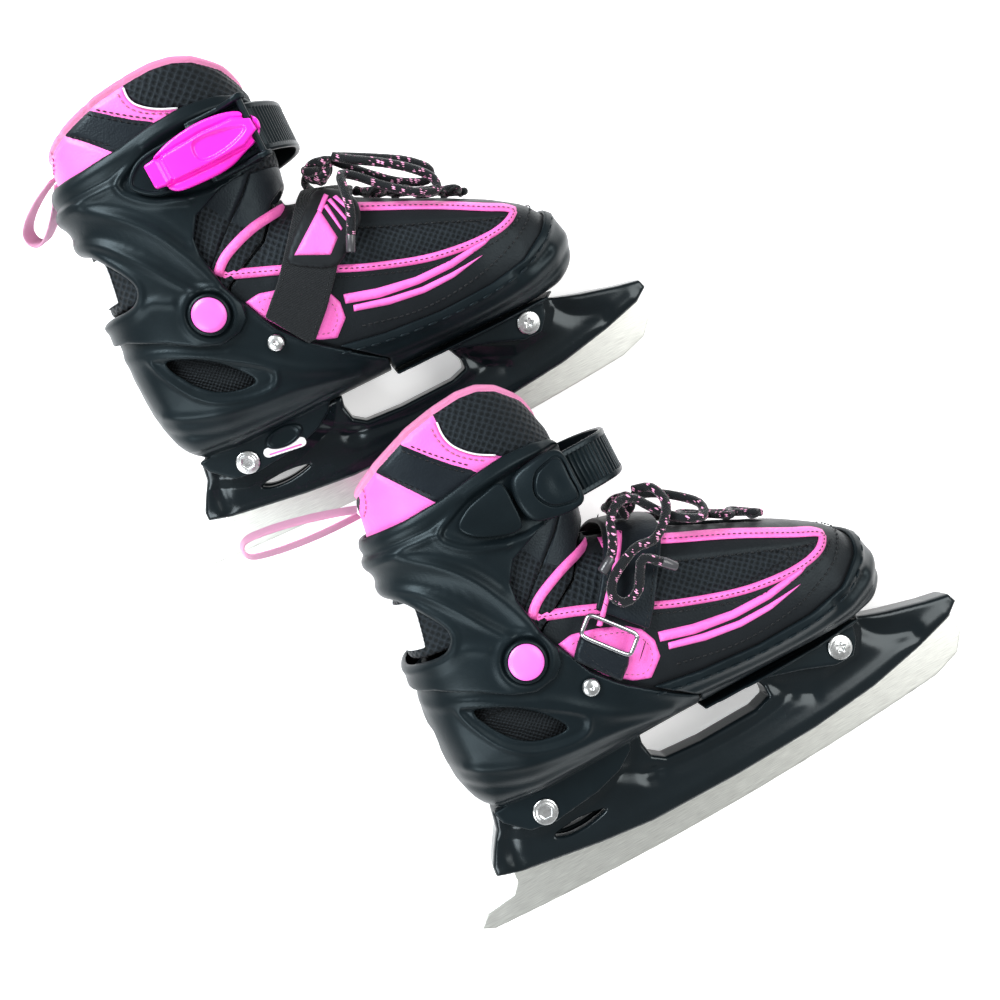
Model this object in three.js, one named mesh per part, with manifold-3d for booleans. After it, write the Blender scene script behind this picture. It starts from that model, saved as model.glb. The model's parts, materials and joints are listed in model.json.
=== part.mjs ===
// A pair of size-adjustable children's ice skates, lying on their sides, in millimetres.
// Part frame: +X is forward, +Y is up along the boots, +Z is up from the floor they lie on.
// One skate is built in its own frame: x forward and y up from the cuff pivot, z outward (lateral).
// The left skate is the same skate mirrored in z.
import * as THREE from "three";
import { mergeVertices } from "three/addons/utils/BufferGeometryUtils.js";
import Module from "manifold-3d";

const wasm = await Module();
wasm.setup();

// ---- driving dimensions ----
const GAP = 0.4; // running clearance between neighbouring pieces
const SHELL_WALL = 2.4; // wall of the heel shell and the toe shell
const CUFF_WALL = 2.4;
const UPPER_WALL = 1.6;
const LINER_WALL = 3.6;
const COLLAR_WALL = 7;
const SOLE_Y = -66; // underside of the shells
const SOLE_PLATE_THICKNESS = 1.4;
const BLADE_THICKNESS = 2.8;
const ROCKER_RADIUS = 1650; // curve of the running edge
const ROCKER_X = 50; // where the running edge is lowest
const ICE_Y = -123; // lowest line of the running edge
const RAIL_HALF = 6.5; // half thickness of the blade holder's rail
const RIB_HALF = 8.6; // half thickness of its two towers
const CHEEK_OUTER = 14.6; // outer face of the lugs that the bolts clamp
const BOLT_HEAD_RADIUS = 6.2;
const BOLT_SHANK_RADIUS = 2.8;
const REAR_BOLT = [-22.7, -74.4];
const FRONT_BOLT = [141.2, -74.4];
const PIVOT_CAP_RADIUS = 8.8;
const SIDE_RIVET = [20.9, -24.8];
const SIDE_RIVET_RADIUS = 4.1;
const SIZE_BUTTON = [0, -70.6];
const SIZE_BUTTON_RADII = [10.5, 5.4];
const BUCKLE_Y = 64; // height of the buckle strap's centre line
const BUCKLE_STRAP_WIDTH = 22;
const BUCKLE_STRAP_THICKNESS = 2.4;
const STRAP_HALF_SPAN = 41.8; // the strap's middle surface beside the cuff
const LEVER_PIN = [56.5, 47.8]; // x and z of the lever's hinge
const STRAP_THICKNESS = 2.2; // of the instep strap and the ring's tab
const LACE_RADIUS = 2.2;
const SIDES = 16; // facets round the boot
const SQUARENESS = 2.6; // exponent of the boot's rounded sections

// Where each skate lies on the floor: its cuff pivot, and in degrees how far the boot's top is
// raised (lean) and how far its toe dips (pitch), both set by what it rests on.
const LEFT_PLACE = { x: 0, y: 0, lean: 7.6, pitch: 0.5 };
const RIGHT_PLACE = { x: -54.5, y: 216.9, lean: 22.5, pitch: -1.7 };

// Sections of the foot along x: [x, underside, top, half width].
const FOOT_SECTIONS = [
  [-53, -46, -6, 12],
  [-50, -56, 2, 22],
  [-42, -64, 8, 30],
  [-20, SOLE_Y, 14, 36],
  [8, SOLE_Y, 26, 38],
  [35, SOLE_Y, 34, 38],
  [55, SOLE_Y, 35, 38],
  [80, SOLE_Y, 28, 38],
  [104, SOLE_Y, 16, 38],
  [128, SOLE_Y, 5, 37.5],
  [150, SOLE_Y, -6, 34],
  [166, -64, -16, 27],
  [176, -58, -28, 17],
  [180, -50, -38, 8],
];
// Sections of the leg along y: [y, back, front, half width].
const LEG_SECTIONS = [
  [-35, -53, 44, 34],
  [-12, -51, 48, 38.2],
  [4, -51.5, 51, 38.2],
  [25, -47, 56, 36.6],
  [50, -42, 62, 36.2],
  [66, -43.5, 64, 36.6],
  [82, -39.5, 63, 36.6],
  [105, -36, 60, 36],
  [128, -30, 52, 33],
];

// ---- solids ----
function toSolid(geometry) {
  const bare = geometry.clone();
  bare.deleteAttribute("normal");
  bare.deleteAttribute("uv");
  const merged = mergeVertices(bare, 1e-4);
  return new wasm.Manifold(
    new wasm.Mesh({
      numProp: 3,
      vertProperties: merged.attributes.position.array,
      triVerts: new Uint32Array(merged.index.array),
    }),
  );
}

function toGeometry(solid) {
  const mesh = solid.getMesh();
  const geometry = new THREE.BufferGeometry();
  geometry.setAttribute("position", new THREE.BufferAttribute(mesh.vertProperties, 3));
  geometry.setIndex(new THREE.BufferAttribute(mesh.triVerts, 1));
  geometry.computeVertexNormals();
  return geometry;
}

function joined(...solids) {
  return solids.reduce((sum, solid) => sum.add(solid));
}

// ---- outlines and simple shapes ----
function polygon(points) {
  return new THREE.Shape(points.map(([x, y]) => new THREE.Vector2(x, y)));
}

// A closed smooth outline through a few points.
function smoothOutline(points, steps = 3) {
  const knots = points.map(([x, y]) => new THREE.Vector3(x, y, 0));
  const curve = new THREE.CatmullRomCurve3(knots, true, "centripetal");
  const round = curve.getPoints(points.length * steps).slice(0, -1);
  return polygon(round.map((p) => [p.x, p.y]));
}

function ellipse(x, y, radiusX, radiusY, sides = 20) {
  const points = Array.from({ length: sides }, (_, i) => {
    const angle = (i / sides) * Math.PI * 2;
    return [x + radiusX * Math.cos(angle), y + radiusY * Math.sin(angle)];
  });
  return polygon(points);
}

// A shape in the x-y plane made into a plate between two heights.
function plate(shape, zLow, zHigh) {
  const geometry = new THREE.ExtrudeGeometry(shape, {
    depth: zHigh - zLow,
    bevelEnabled: false,
  });
  return toSolid(geometry.translate(0, 0, zLow));
}

function box(x0, x1, y0, y1, z0, z1) {
  const geometry = new THREE.BoxGeometry(x1 - x0, y1 - y0, z1 - z0);
  return toSolid(geometry.translate((x0 + x1) / 2, (y0 + y1) / 2, (z0 + z1) / 2));
}

// A cylinder along z.
function pin(x, y, radius, zLow, zHigh, segments = 16) {
  const geometry = new THREE.CylinderGeometry(radius, radius, zHigh - zLow, segments);
  geometry.rotateX(Math.PI / 2);
  return toSolid(geometry.translate(x, y, (zLow + zHigh) / 2));
}

// A turned piece along z: profile of [radius, z] from axis to axis.
function turned(x, y, profile, segments = 16) {
  const geometry = new THREE.LatheGeometry(
    profile.map(([r, z]) => new THREE.Vector2(r, z)),
    segments,
  );
  geometry.rotateX(Math.PI / 2);
  return toSolid(geometry.translate(x, y, 0));
}

// A closed solid through rings that all have the same number of points.
function loft(rings) {
  const count = rings[0].length;
  const points = rings.flat();
  const index = [];
  for (let ring = 0; ring < rings.length - 1; ring++) {
    for (let i = 0; i < count; i++) {
      const a = ring * count + i;
      const b = ring * count + ((i + 1) % count);
      index.push(a, b + count, b, a, a + count, b + count);
    }
  }
  const addCap = (ring, flip) => {
    const start = ring * count;
    const centre = new THREE.Vector3();
    rings[ring].forEach((p) => centre.addScaledVector(p, 1 / count));
    const middle = points.push(centre) - 1;
    for (let i = 0; i < count; i++) {
      const next = start + ((i + 1) % count);
      index.push(middle, ...(flip ? [next, start + i] : [start + i, next]));
    }
  };
  addCap(0, false);
  addCap(rings.length - 1, true);
  const geometry = new THREE.BufferGeometry().setFromPoints(points);
  geometry.setIndex(index);
  return toSolid(geometry);
}

// A round cord through points, made of straight facets.
function cord(points, radius, steps, sides = 8) {
  const curve = new THREE.CatmullRomCurve3(points.map((p) => new THREE.Vector3(...p)));
  const section = polygon(
    Array.from({ length: sides }, (_, i) => {
      const angle = (i / sides) * Math.PI * 2;
      return [radius * Math.cos(angle), radius * Math.sin(angle)];
    }),
  );
  return toSolid(
    new THREE.ExtrudeGeometry(section, { steps, bevelEnabled: false, extrudePath: curve }),
  );
}

// The outline of a strip of even thickness along a smooth open path.
function stripOutline(path, thickness, steps) {
  const knots = path.map(([x, y]) => new THREE.Vector3(x, y, 0));
  const curve = new THREE.CatmullRomCurve3(knots, false, "centripetal");
  const side = (offset) =>
    Array.from({ length: steps + 1 }, (_, i) => {
      const point = curve.getPointAt(i / steps);
      const along = curve.getTangentAt(i / steps);
      return [point.x - along.y * offset, point.y + along.x * offset];
    });
  return polygon([...side(-thickness / 2), ...side(thickness / 2).reverse()]);
}

// ---- the boot's form: every layer is the same form, set in or out ----
function roundPower(value) {
  return Math.sign(value) * Math.abs(value) ** (2 / SQUARENESS);
}

function legForm(inset) {
  return loft(
    LEG_SECTIONS.map(([y, back, front, halfWidth]) =>
      Array.from({ length: SIDES }, (_, i) => {
        const angle = (i / SIDES) * Math.PI * 2;
        const middle = (back + front) / 2;
        const reach = (front - back) / 2 - inset;
        return new THREE.Vector3(
          middle + reach * roundPower(Math.cos(angle)),
          y,
          (halfWidth - inset) * roundPower(Math.sin(angle)),
        );
      }),
    ),
  );
}

function footForm(inset) {
  const [heel, toe] = [FOOT_SECTIONS[0][0], FOOT_SECTIONS.at(-1)[0]];
  const shrink = (toe - heel - 2 * inset) / (toe - heel);
  return loft(
    FOOT_SECTIONS.map(([x, underside, top, halfWidth]) =>
      Array.from({ length: SIDES }, (_, i) => {
        const angle = (i / SIDES) * Math.PI * 2;
        const middle = (underside + top) / 2;
        const rise = Math.max((top - underside) / 2 - inset, 2);
        const reach = Math.max(halfWidth - inset, 2);
        return new THREE.Vector3(
          heel + inset + (x - heel) * shrink,
          middle + rise * roundPower(Math.sin(angle)),
          reach * roundPower(Math.cos(angle)),
        );
      }),
    ),
  );
}

function bootForm(inset) {
  return legForm(inset).add(footForm(inset));
}

// The wall between two insets of a form.
function wall(form, outerInset, thickness) {
  return form(outerInset).subtract(form(outerInset + thickness));
}

// ---- blade, holder and fasteners ----
function rockerY(x) {
  return ICE_Y + (x - ROCKER_X) ** 2 / (2 * ROCKER_RADIUS);
}

// The blade seen from the side; grow widens the tang that the holder grips.
function bladeOutline(grow) {
  const edge = [-70, -30, 10, ROCKER_X, 90, 130, 170, 190].map((x) => [x, rockerY(x)]);
  return polygon([
    [-76.5, -115.5],
    ...edge,
    [201, -112.5],
    [207.5, -104],
    [206.5 + grow, -91.5 + grow],
    [185, -93 + grow],
    [150, -99 + grow],
    [100, -103 + grow],
    [40, -103.5 + grow],
    [-5, -100.5 + grow],
    [-50 - grow, -93.5 + grow],
    [-51, -104],
    [-55, -108.5],
    [-70, -110],
  ]);
}

function makeBlade() {
  return plate(bladeOutline(0), -BLADE_THICKNESS / 2, BLADE_THICKNESS / 2);
}

function makeHolder() {
  const top = SOLE_Y - GAP;
  const frontTop = top - SOLE_PLATE_THICKNESS - GAP;
  const outline = polygon([
    [-58, -95],
    [-46, -98.6],
    [-5, -105.4],
    [22, -108.6],
    [70, -109.4],
    [115, -108.2],
    [152, -104.6],
    [182, -98.5],
    [203, -92.5],
    [210.5, -87],
    [208.5, -82],
    [196, -79.6],
    [176, -74.5],
    [163, -70.5],
    [157, frontTop],
    [97, frontTop],
    [101.8, -78],
    [101.5, -83],
    [93, -85.6],
    [62, -86],
    [42, -84.5],
    [36, -80],
    [34.6, -72.5],
    [36, top],
    [-46, top],
    [-48, -75],
    [-54, -84],
    [-57.5, -90],
  ]);
  const rearTower = smoothOutline([
    [-46, -68],
    [-46, -78],
    [-30, -85],
    [0, -84],
    [22, -77],
    [30, -68],
  ]);
  const frontTower = smoothOutline([
    [103, -68],
    [108, -76],
    [130, -86],
    [150, -84],
    [157, -74],
    [155, -68],
  ]);
  const slit = smoothOutline([
    [-24, -91],
    [-8, -89.5],
    [4, -92],
    [-8, -94.5],
    [-20, -93.5],
  ]);
  const groove = plate(bladeOutline(GAP), -BLADE_THICKNESS / 2 - GAP, BLADE_THICKNESS / 2 + GAP);
  const tower = (shape, height) =>
    plate(shape, -RIB_HALF, RIB_HALF).subtract(box(-80, 220, height, 0, -20, 20));
  return plate(outline, -RAIL_HALF, RAIL_HALF)
    .add(tower(rearTower, top))
    .add(tower(frontTower, frontTop))
    .subtract(plate(slit, -20, 20))
    .subtract(groove)
    .subtract(pin(...REAR_BOLT, BOLT_SHANK_RADIUS + GAP, -20, 20))
    .subtract(pin(...FRONT_BOLT, BOLT_SHANK_RADIUS + GAP, -20, 20));
}

// A through bolt with a low round head at both ends.
function makeBolt([x, y]) {
  const seat = CHEEK_OUTER + 0.3;
  const profile = [
    [0, -seat - 1.7],
    [BOLT_HEAD_RADIUS - 0.7, -seat - 1.7],
    [BOLT_HEAD_RADIUS, -seat - 1],
    [BOLT_HEAD_RADIUS, -seat],
    [BOLT_SHANK_RADIUS, -seat],
    [BOLT_SHANK_RADIUS, seat],
    [BOLT_HEAD_RADIUS, seat],
    [BOLT_HEAD_RADIUS, seat + 1],
    [BOLT_HEAD_RADIUS - 0.7, seat + 1.7],
    [0, seat + 1.7],
  ];
  return turned(x, y, profile, 14);
}

// Both lugs of a shell that straddle a tower of the holder.
function makeCheeks(shape, bolt) {
  const inner = RIB_HALF + GAP;
  const both = plate(shape, inner, CHEEK_OUTER).add(plate(shape, -CHEEK_OUTER, -inner));
  return both.subtract(pin(...bolt, BOLT_SHANK_RADIUS + GAP, -20, 20));
}

// ---- shells ----
function makeHeelShell() {
  const sideView = polygon([
    [-70, 4],
    [-42, 2.5],
    [-25, -5],
    [-14, -9],
    [-13, 1],
    [-9, 9],
    [0, 12.5],
    [9, 9.5],
    [14, 2],
    [17, -3],
    [24.2, -19],
    [34, -30.5],
    [45, -39.8],
    [56, -49],
    [66, -56.5],
    [66, -80],
    [-70, -80],
  ]);
  const sideVent = smoothOutline([
    [-30.4, -11.4],
    [-18, -15],
    [-4, -26],
    [3, -37],
    [-8, -36.5],
    [-18, -31.5],
    [-26, -22],
  ]);
  const rearVent = smoothOutline([
    [-12, -16],
    [12, -16],
    [9, -26],
    [0, -31],
    [-9, -26],
  ]);
  const rearCut = plate(rearVent, 0, 40).rotate([0, -90, 0]).translate([-30, 0, 0]);
  const lug = smoothOutline([
    [-46, -63],
    [-43, -70],
    [-33, -79.5],
    [-20, -81.6],
    [4, -79],
    [18, -75],
    [27, -69],
    [31, -63],
  ]);
  const buttonHole = ellipse(...SIZE_BUTTON, ...SIZE_BUTTON_RADII.map((r) => r + GAP));
  return wall(bootForm, 0, SHELL_WALL)
    .intersect(plate(sideView, -60, 60))
    .subtract(plate(sideVent, -60, 60))
    .subtract(rearCut)
    .add(makeCheeks(lug, REAR_BOLT).subtract(box(-60, 60, SOLE_Y + SHELL_WALL, 0, -20, 20)))
    .subtract(plate(buttonHole, RIB_HALF, 20))
    .subtract(pin(0, 0, 3.4, -60, 60))
    .subtract(pin(...SIDE_RIVET, 2.4, -60, 60));
}

function makeSolePlate() {
  const outline = smoothOutline([
    [67, -19],
    [100, -21],
    [130, -20],
    [156, -15],
    [163, 0],
    [156, 15],
    [130, 20],
    [100, 21],
    [67, 19],
  ]);
  const top = SOLE_Y - GAP;
  const slab = plate(outline, 0, SOLE_PLATE_THICKNESS).rotate([90, 0, 0]).translate([0, top, 0]);
  const lug = smoothOutline([
    [92, -67],
    [98, -69.5],
    [120, -76],
    [136, -82],
    [146, -82],
    [151, -76],
    [154, -67],
  ]);
  return slab.add(makeCheeks(lug, FRONT_BOLT).subtract(box(60, 200, top, 0, -20, 20)));
}

function makeToeShell() {
  const sideView = polygon([
    [46.6, -39.6],
    [70, -44],
    [100, -46.5],
    [128, -45.5],
    [148, -42],
    [163, -34],
    [172, -26],
    [190, -20],
    [190, -80],
    [67, -80],
    [67, -57],
    [57, -48.2],
  ]);
  return wall(footForm, 0, SHELL_WALL).intersect(plate(sideView, -60, 60));
}

// ---- soft boot ----
// The upper slides forward with the toe, between the heel shell and the liner, so both leave it room.
const UPPER_INSET = SHELL_WALL + 2 * GAP;
const TONGUE_INSET = UPPER_INSET + UPPER_WALL + GAP;
const LINER_INSET = TONGUE_INSET + 1;
const TONGUE_HALF_WIDTH = 19;
const throat = [
  [50, 60],
  [50, 12],
  [100, -2],
  [136, -8],
  [136, 60],
];

function makeUpper() {
  const sideView = polygon([
    [9, -80],
    [9, 2],
    [14.4, 7.6],
    [37.8, 19],
    [50, 33],
    [64, 39],
    [195, 39],
    [195, -80],
  ]);
  return wall(bootForm, UPPER_INSET, UPPER_WALL)
    .intersect(plate(sideView, -60, 60))
    .subtract(plate(polygon(throat), -11, 11));
}

function makeTongue() {
  const reach = TONGUE_HALF_WIDTH - GAP;
  const sideView = polygon([
    [54, 37],
    [54, 14],
    [100, 0],
    [138, -6],
    [138, 37],
  ]);
  return wall(bootForm, TONGUE_INSET, 2.4).intersect(plate(sideView, -reach, reach));
}

function makeLiner() {
  const sideView = polygon([
    [-70, 13],
    [6, 13],
    [14, 14],
    [38, 24],
    [50, 36],
    [195, 36],
    [195, -80],
    [-70, -80],
  ]);
  const reach = TONGUE_HALF_WIDTH;
  return wall(bootForm, LINER_INSET, LINER_WALL)
    .intersect(plate(sideView, -60, 60))
    .subtract(plate(polygon([[50, 60], ...throat.slice(1, -1), [142, 60]]), -reach, reach))
    .subtract(box(136, 142, -12, 60, -reach, reach));
}

// The padding stands upright on the left skate and has slumped on the right one: rise is how much
// of its height above the cuff is left.
function makeCollar(rise) {
  const rimBase = 84;
  const upright = [
    [-60, 18],
    [10, 18.5],
    [40, 43],
    [46, 49],
    [80, 49],
    [80, 88],
    [64, 92],
    [58, 106],
    [47, 117],
    [28, 121],
    [0, 116.5],
    [-20, 109],
    [-36, 101],
    [-60, 98],
  ];
  const sideView = upright.map(([x, y]) => [x, y > rimBase ? rimBase + (y - rimBase) * rise : y]);
  return wall(legForm, 0.3, COLLAR_WALL).intersect(plate(polygon(sideView), -60, 60));
}

// ---- cuff and its buckle ----
function makeCuff() {
  const sideView = polygon([
    [-60, 80],
    [-36, 80],
    [-20, 79.5],
    [0, 80.8],
    [16, 83.6],
    [32, 85.2],
    [48, 84.5],
    [58, 82],
    [63, 77],
    [60, 62],
    [56, 53],
    [49, 50],
    [32, 48],
    [16, 41.5],
    [10, 33],
    [9.3, 25],
    [12, 9],
    [16, -2],
    [14.5, -9],
    [9, -13.5],
    [-2, -15],
    [-12, -11],
    [-24.4, -3.3],
    [-42, 4.5],
    [-60, 7.5],
  ]);
  const rearOpening = smoothOutline([
    [-70, 50],
    [-42, 49],
    [-31, 38],
    [-24.6, 25],
    [-29, 19],
    [-43, 18],
    [-70, 20],
  ]);
  return wall(legForm, -CUFF_WALL - 0.5, CUFF_WALL)
    .intersect(plate(sideView, -60, 60))
    .subtract(plate(rearOpening, -60, 60))
    .subtract(pin(0, 0, 3.4, -60, 60));
}

// A domed cap with the short pin that the cuff turns on; side is +1 outward or -1 inward.
function makePivotCap(side) {
  const profile = [
    [0, 34.8],
    [3, 34.8],
    [3, 41.5],
    [PIVOT_CAP_RADIUS, 41.5],
    [PIVOT_CAP_RADIUS, 42],
    [PIVOT_CAP_RADIUS - 1, 42.9],
    [5, 43.5],
    [0, 43.7],
  ];
  const cap = turned(0, 0, profile);
  return side > 0 ? cap : cap.mirror([0, 0, 1]);
}

function makeSideRivet(side) {
  const profile = [
    [0, 36.4],
    [2, 36.4],
    [2, 39.2],
    [SIDE_RIVET_RADIUS, 39.2],
    [SIDE_RIVET_RADIUS, 39.8],
    [SIDE_RIVET_RADIUS - 1.2, 40.6],
    [0, 40.9],
  ];
  const rivet = turned(...SIDE_RIVET, profile, 12);
  return side > 0 ? rivet : rivet.mirror([0, 0, 1]);
}

const PLATE_BOTTOM = 39.9;
const PLATE_TOP = 42.3;
const ARM_INNER = 11.6;
const ARM_OUTER = 13.6;

function makeBuckleBase() {
  const [pinX, pinZ] = LEVER_PIN;
  const tail = smoothOutline([
    [-4, BUCKLE_Y],
    [4, BUCKLE_Y + 8],
    [24, BUCKLE_Y + 10.5],
    [36, BUCKLE_Y + 10.5],
    [36, BUCKLE_Y - 10.5],
    [24, BUCKLE_Y - 10.5],
    [4, BUCKLE_Y - 8],
  ]);
  const bridge = box(30, 41, BUCKLE_Y - ARM_OUTER, BUCKLE_Y + ARM_OUTER, PLATE_BOTTOM, PLATE_TOP);
  const armShape = polygon([
    [32, PLATE_BOTTOM],
    [58, PLATE_BOTTOM],
    [pinX + 3, pinZ],
    [pinX + 1, pinZ + 2.6],
    [pinX - 3, pinZ + 2],
    [46, PLATE_TOP + 1.5],
    [32, PLATE_TOP],
  ]);
  const arm = (y0, y1) => plate(armShape, -y1, -y0).rotate([90, 0, 0]);
  const hingePin = pin(pinX, -pinZ, 1.5, BUCKLE_Y - ARM_OUTER, BUCKLE_Y + ARM_OUTER, 12);
  return joined(
    plate(tail, PLATE_BOTTOM, PLATE_TOP),
    bridge,
    arm(BUCKLE_Y + ARM_INNER, BUCKLE_Y + ARM_OUTER),
    arm(BUCKLE_Y - ARM_OUTER, BUCKLE_Y - ARM_INNER),
    hingePin.rotate([-90, 0, 0]),
  );
}

function makeLever() {
  const [pinX, pinZ] = LEVER_PIN;
  const topView = smoothOutline([
    [7, BUCKLE_Y - 5.5],
    [7, BUCKLE_Y + 5.5],
    [20, BUCKLE_Y + 8.6],
    [38, BUCKLE_Y + 9.8],
    [54, BUCKLE_Y + 7.5],
    [59.6, BUCKLE_Y],
    [54, BUCKLE_Y - 7.5],
    [38, BUCKLE_Y - 9.8],
    [20, BUCKLE_Y - 8.6],
  ]);
  const sideView = polygon([
    [6, 45],
    [48, 45],
    [52, 44.6],
    [57, 44.4],
    [60, 46.8],
    [60, 49.2],
    [57, 50.6],
    [44, 50],
    [20, 48.8],
    [6, 48],
  ]);
  const profile = plate(sideView, -BUCKLE_Y - 12, -BUCKLE_Y + 12).rotate([90, 0, 0]);
  const bore = pin(pinX, -pinZ, 1.5 + GAP, BUCKLE_Y - 14, BUCKLE_Y + 14, 12).rotate([-90, 0, 0]);
  return plate(topView, 40, 60).intersect(profile).subtract(bore);
}

// The ratchet strap runs from the buckle round the shin to the receiver; bulge is its foremost x.
function makeRatchetStrap(bulge) {
  const span = STRAP_HALF_SPAN;
  const path = [
    [42, span],
    [50, span],
    [56.5, span - 0.4],
    [bulge - 10, span - 8],
    [bulge - 2, 17],
    [bulge, 0],
    [bulge - 2, -17],
    [bulge - 10, -span + 8],
    [56.5, -span + 0.4],
    [50, -span],
    [34, -span],
  ];
  const outline = stripOutline(path, BUCKLE_STRAP_THICKNESS, 26);
  const half = BUCKLE_STRAP_WIDTH / 2;
  return plate(outline, -half, half).rotate([90, 0, 0]).translate([0, BUCKLE_Y, 0]);
}

const RECEIVER_BOTTOM = 39.9;
const RECEIVER_TOP = 47.5;
const BUTTON_BOTTOM = 46;
const BUTTON_TRAVEL = 1.2;
const releaseOutline = (grow) =>
  smoothOutline([
    [40 - grow, BUCKLE_Y],
    [44, BUCKLE_Y + 7 + grow],
    [52 + grow, BUCKLE_Y + 8.5 + grow],
    [52 + grow, BUCKLE_Y - 8.5 - grow],
    [44, BUCKLE_Y - 7 - grow],
  ]);

function makeReceiver() {
  const outline = smoothOutline([
    [28.5, BUCKLE_Y],
    [31, BUCKLE_Y + 10],
    [38, BUCKLE_Y + 13],
    [55, BUCKLE_Y + 12.8],
    [55.5, BUCKLE_Y],
    [55, BUCKLE_Y - 12.8],
    [38, BUCKLE_Y - 13],
    [31, BUCKLE_Y - 10],
  ]);
  const half = BUCKLE_STRAP_WIDTH / 2 + GAP;
  const channel = box(33, 60, BUCKLE_Y - half, BUCKLE_Y + half, -STRAP_HALF_SPAN - 1.8, -39);
  const pocket = plate(releaseOutline(GAP), -50, -BUTTON_BOTTOM + BUTTON_TRAVEL + GAP);
  return plate(outline, -RECEIVER_TOP, -RECEIVER_BOTTOM).subtract(channel).subtract(pocket);
}

function makeReleaseButton() {
  return plate(releaseOutline(0), -RECEIVER_TOP - 1, -BUTTON_BOTTOM);
}

function makeSizeButton() {
  const face = ellipse(...SIZE_BUTTON, ...SIZE_BUTTON_RADII);
  return plate(face, RIB_HALF + 2.6, CHEEK_OUTER + 1);
}

// ---- instep strap, its ring and tab, heel loop ----
// A flat band that lies on the boot wherever the side view covers it, between two values of z.
function bandOnBoot(sideView, zLow, zHigh) {
  const band = wall(bootForm, -GAP - STRAP_THICKNESS, STRAP_THICKNESS);
  return band.intersect(plate(sideView, zLow, zHigh));
}

function makeInstepStrap() {
  const sideView = polygon([
    [20.5, -10],
    [33.5, -30],
    [58, -4],
    [88, 20],
    [88, 40],
    [66, 40],
    [56, 30],
    [40, 11],
  ]);
  // On the inner side the strap ends at the ring.
  const belowRing = polygon([
    [10, -10],
    [33.6, 10],
    [56, -14],
    [30, -40],
  ]);
  return bandOnBoot(sideView, -70, 70).subtract(plate(belowRing, -60, 0));
}

function makeStrapRing() {
  const outer = new THREE.Shape();
  outer.moveTo(-13, -6);
  [[13, -6], [13, 6], [-13, 6]].forEach(([x, y]) => outer.lineTo(x, y));
  outer.holes.push(
    new THREE.Path([[-11, -4], [-11, 4], [11, 4], [11, -4]].map((p) => new THREE.Vector2(...p))),
  );
  return plate(outer, -42.4, -40.4).rotate([0, 0, -50]).translate([38.6, -7.4, 0]);
}

function makeRingTab() {
  const sideView = polygon([
    [24.5, -5.4],
    [40.5, -24],
    [34.5, -29.5],
    [19.5, -10.5],
  ]);
  return bandOnBoot(sideView, -70, -5);
}

// A loop of webbing that stands out from the back of the collar.
function makeHeelLoop({ length, angle, drop, height }) {
  const outline = (grow) => [
    [0, 1.6 + grow],
    [length * 0.35, 4.2 + grow],
    [length * 0.75, 5.6 + grow],
    [length - 2 + grow, 3.6 + grow],
    [length + grow, 0],
    [length - 2 + grow, -3.6 - grow],
    [length * 0.75, -5.6 - grow],
    [length * 0.35, -4.2 - grow],
    [0, -1.6 - grow],
  ];
  const shape = smoothOutline(outline(0));
  const hole = smoothOutline(outline(-1.5).map(([x, y]) => [Math.max(x, 2), y]));
  shape.holes.push(new THREE.Path(hole.getPoints().reverse()));
  const loop = plate(shape, -4.5, 4.5).rotate([0, drop, 0]).rotate([0, 0, angle]);
  return loop.translate([-42, height, 0]);
}

// ---- laces ----
// Rows of lace over the tongue; z alternates between the two facings.
function makeLaceRows() {
  const rows = [134, 122, 110, 98];
  const topOf = (x) => 33 - (x - 64) * 0.452 + UPPER_WALL;
  const row = (sign) =>
    rows.map((x, i) => [x, topOf(x), (i % 2 ? -sign : sign) * 12.5]);
  return cord(row(1), LACE_RADIUS - 0.7, 9).add(cord(row(-1), LACE_RADIUS - 0.7, 9));
}

function makeLaceKnot([x, y, z]) {
  const ball = new THREE.SphereGeometry(1, 10, 8).scale(9, 6, 9);
  return toSolid(ball.translate(x, y, z));
}

const LACE_ROUTES = {
  right: {
    knot: [76, 38.5, 16],
    first: [
      [85.5, 41, 20],
      [92, 36, 24],
      [104, 29, 25],
      [116, 21, 24],
      [125, 12, 22],
      [124, 6, 26],
      [113, 9.5, 30],
      [100, 19, 29.5],
      [90, 28, 30],
      [84, 31, 33],
      [82, 24, 39],
      [80, 14, 43.4],
      [76, 6, 44.4],
      [72, -2, 45],
    ],
    second: [
      [85.5, 42, 12],
      [94, 38, 12],
      [106, 32, 12],
      [119, 25, 10],
      [128, 17, 6],
      [126, 13, -2],
      [114, 18, -5],
      [102, 27, -4],
      [90, 37, 2],
      [84, 42, 4],
      [77, 43.6, 2],
      [70, 40, -8],
      [69, 37, -18],
      [74, 30, -27],
      [80, 22, -33],
    ],
  },
  left: {
    knot: [75, 37.5, -18],
    first: [
      [83, 42, -22],
      [90, 40, -27],
      [91, 32, -34],
      [84, 25, -39.6],
      [76, 21, -42.4],
      [67, 22, -44],
      [58, 19, -45.2],
      [50, 14, -45.6],
      [47, 8, -45.6],
      [51, 3, -46],
      [58, 5, -46],
      [63, 12, -45.6],
      [66, 17, -47.6],
      [72, 13, -47.4],
      [78, 7, -46.4],
    ],
    second: [
      [84.4, 38, -12],
      [93, 35, -12],
      [102, 29, -18],
      [108, 22, -26],
      [104, 18, -33],
      [96, 21, -35],
      [89, 27, -30.5],
      [84, 34, -28],
      [79, 40, -30],
      [72, 41.6, -32],
      [64, 37, -36],
      [60, 30, -40.6],
      [55, 24, -44.6],
      [48, 20, -46],
    ],
  },
};

// ---- materials ----
function material(color, roughness, metalness = 0) {
  return new THREE.MeshStandardMaterial({ color, roughness, metalness });
}

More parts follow.
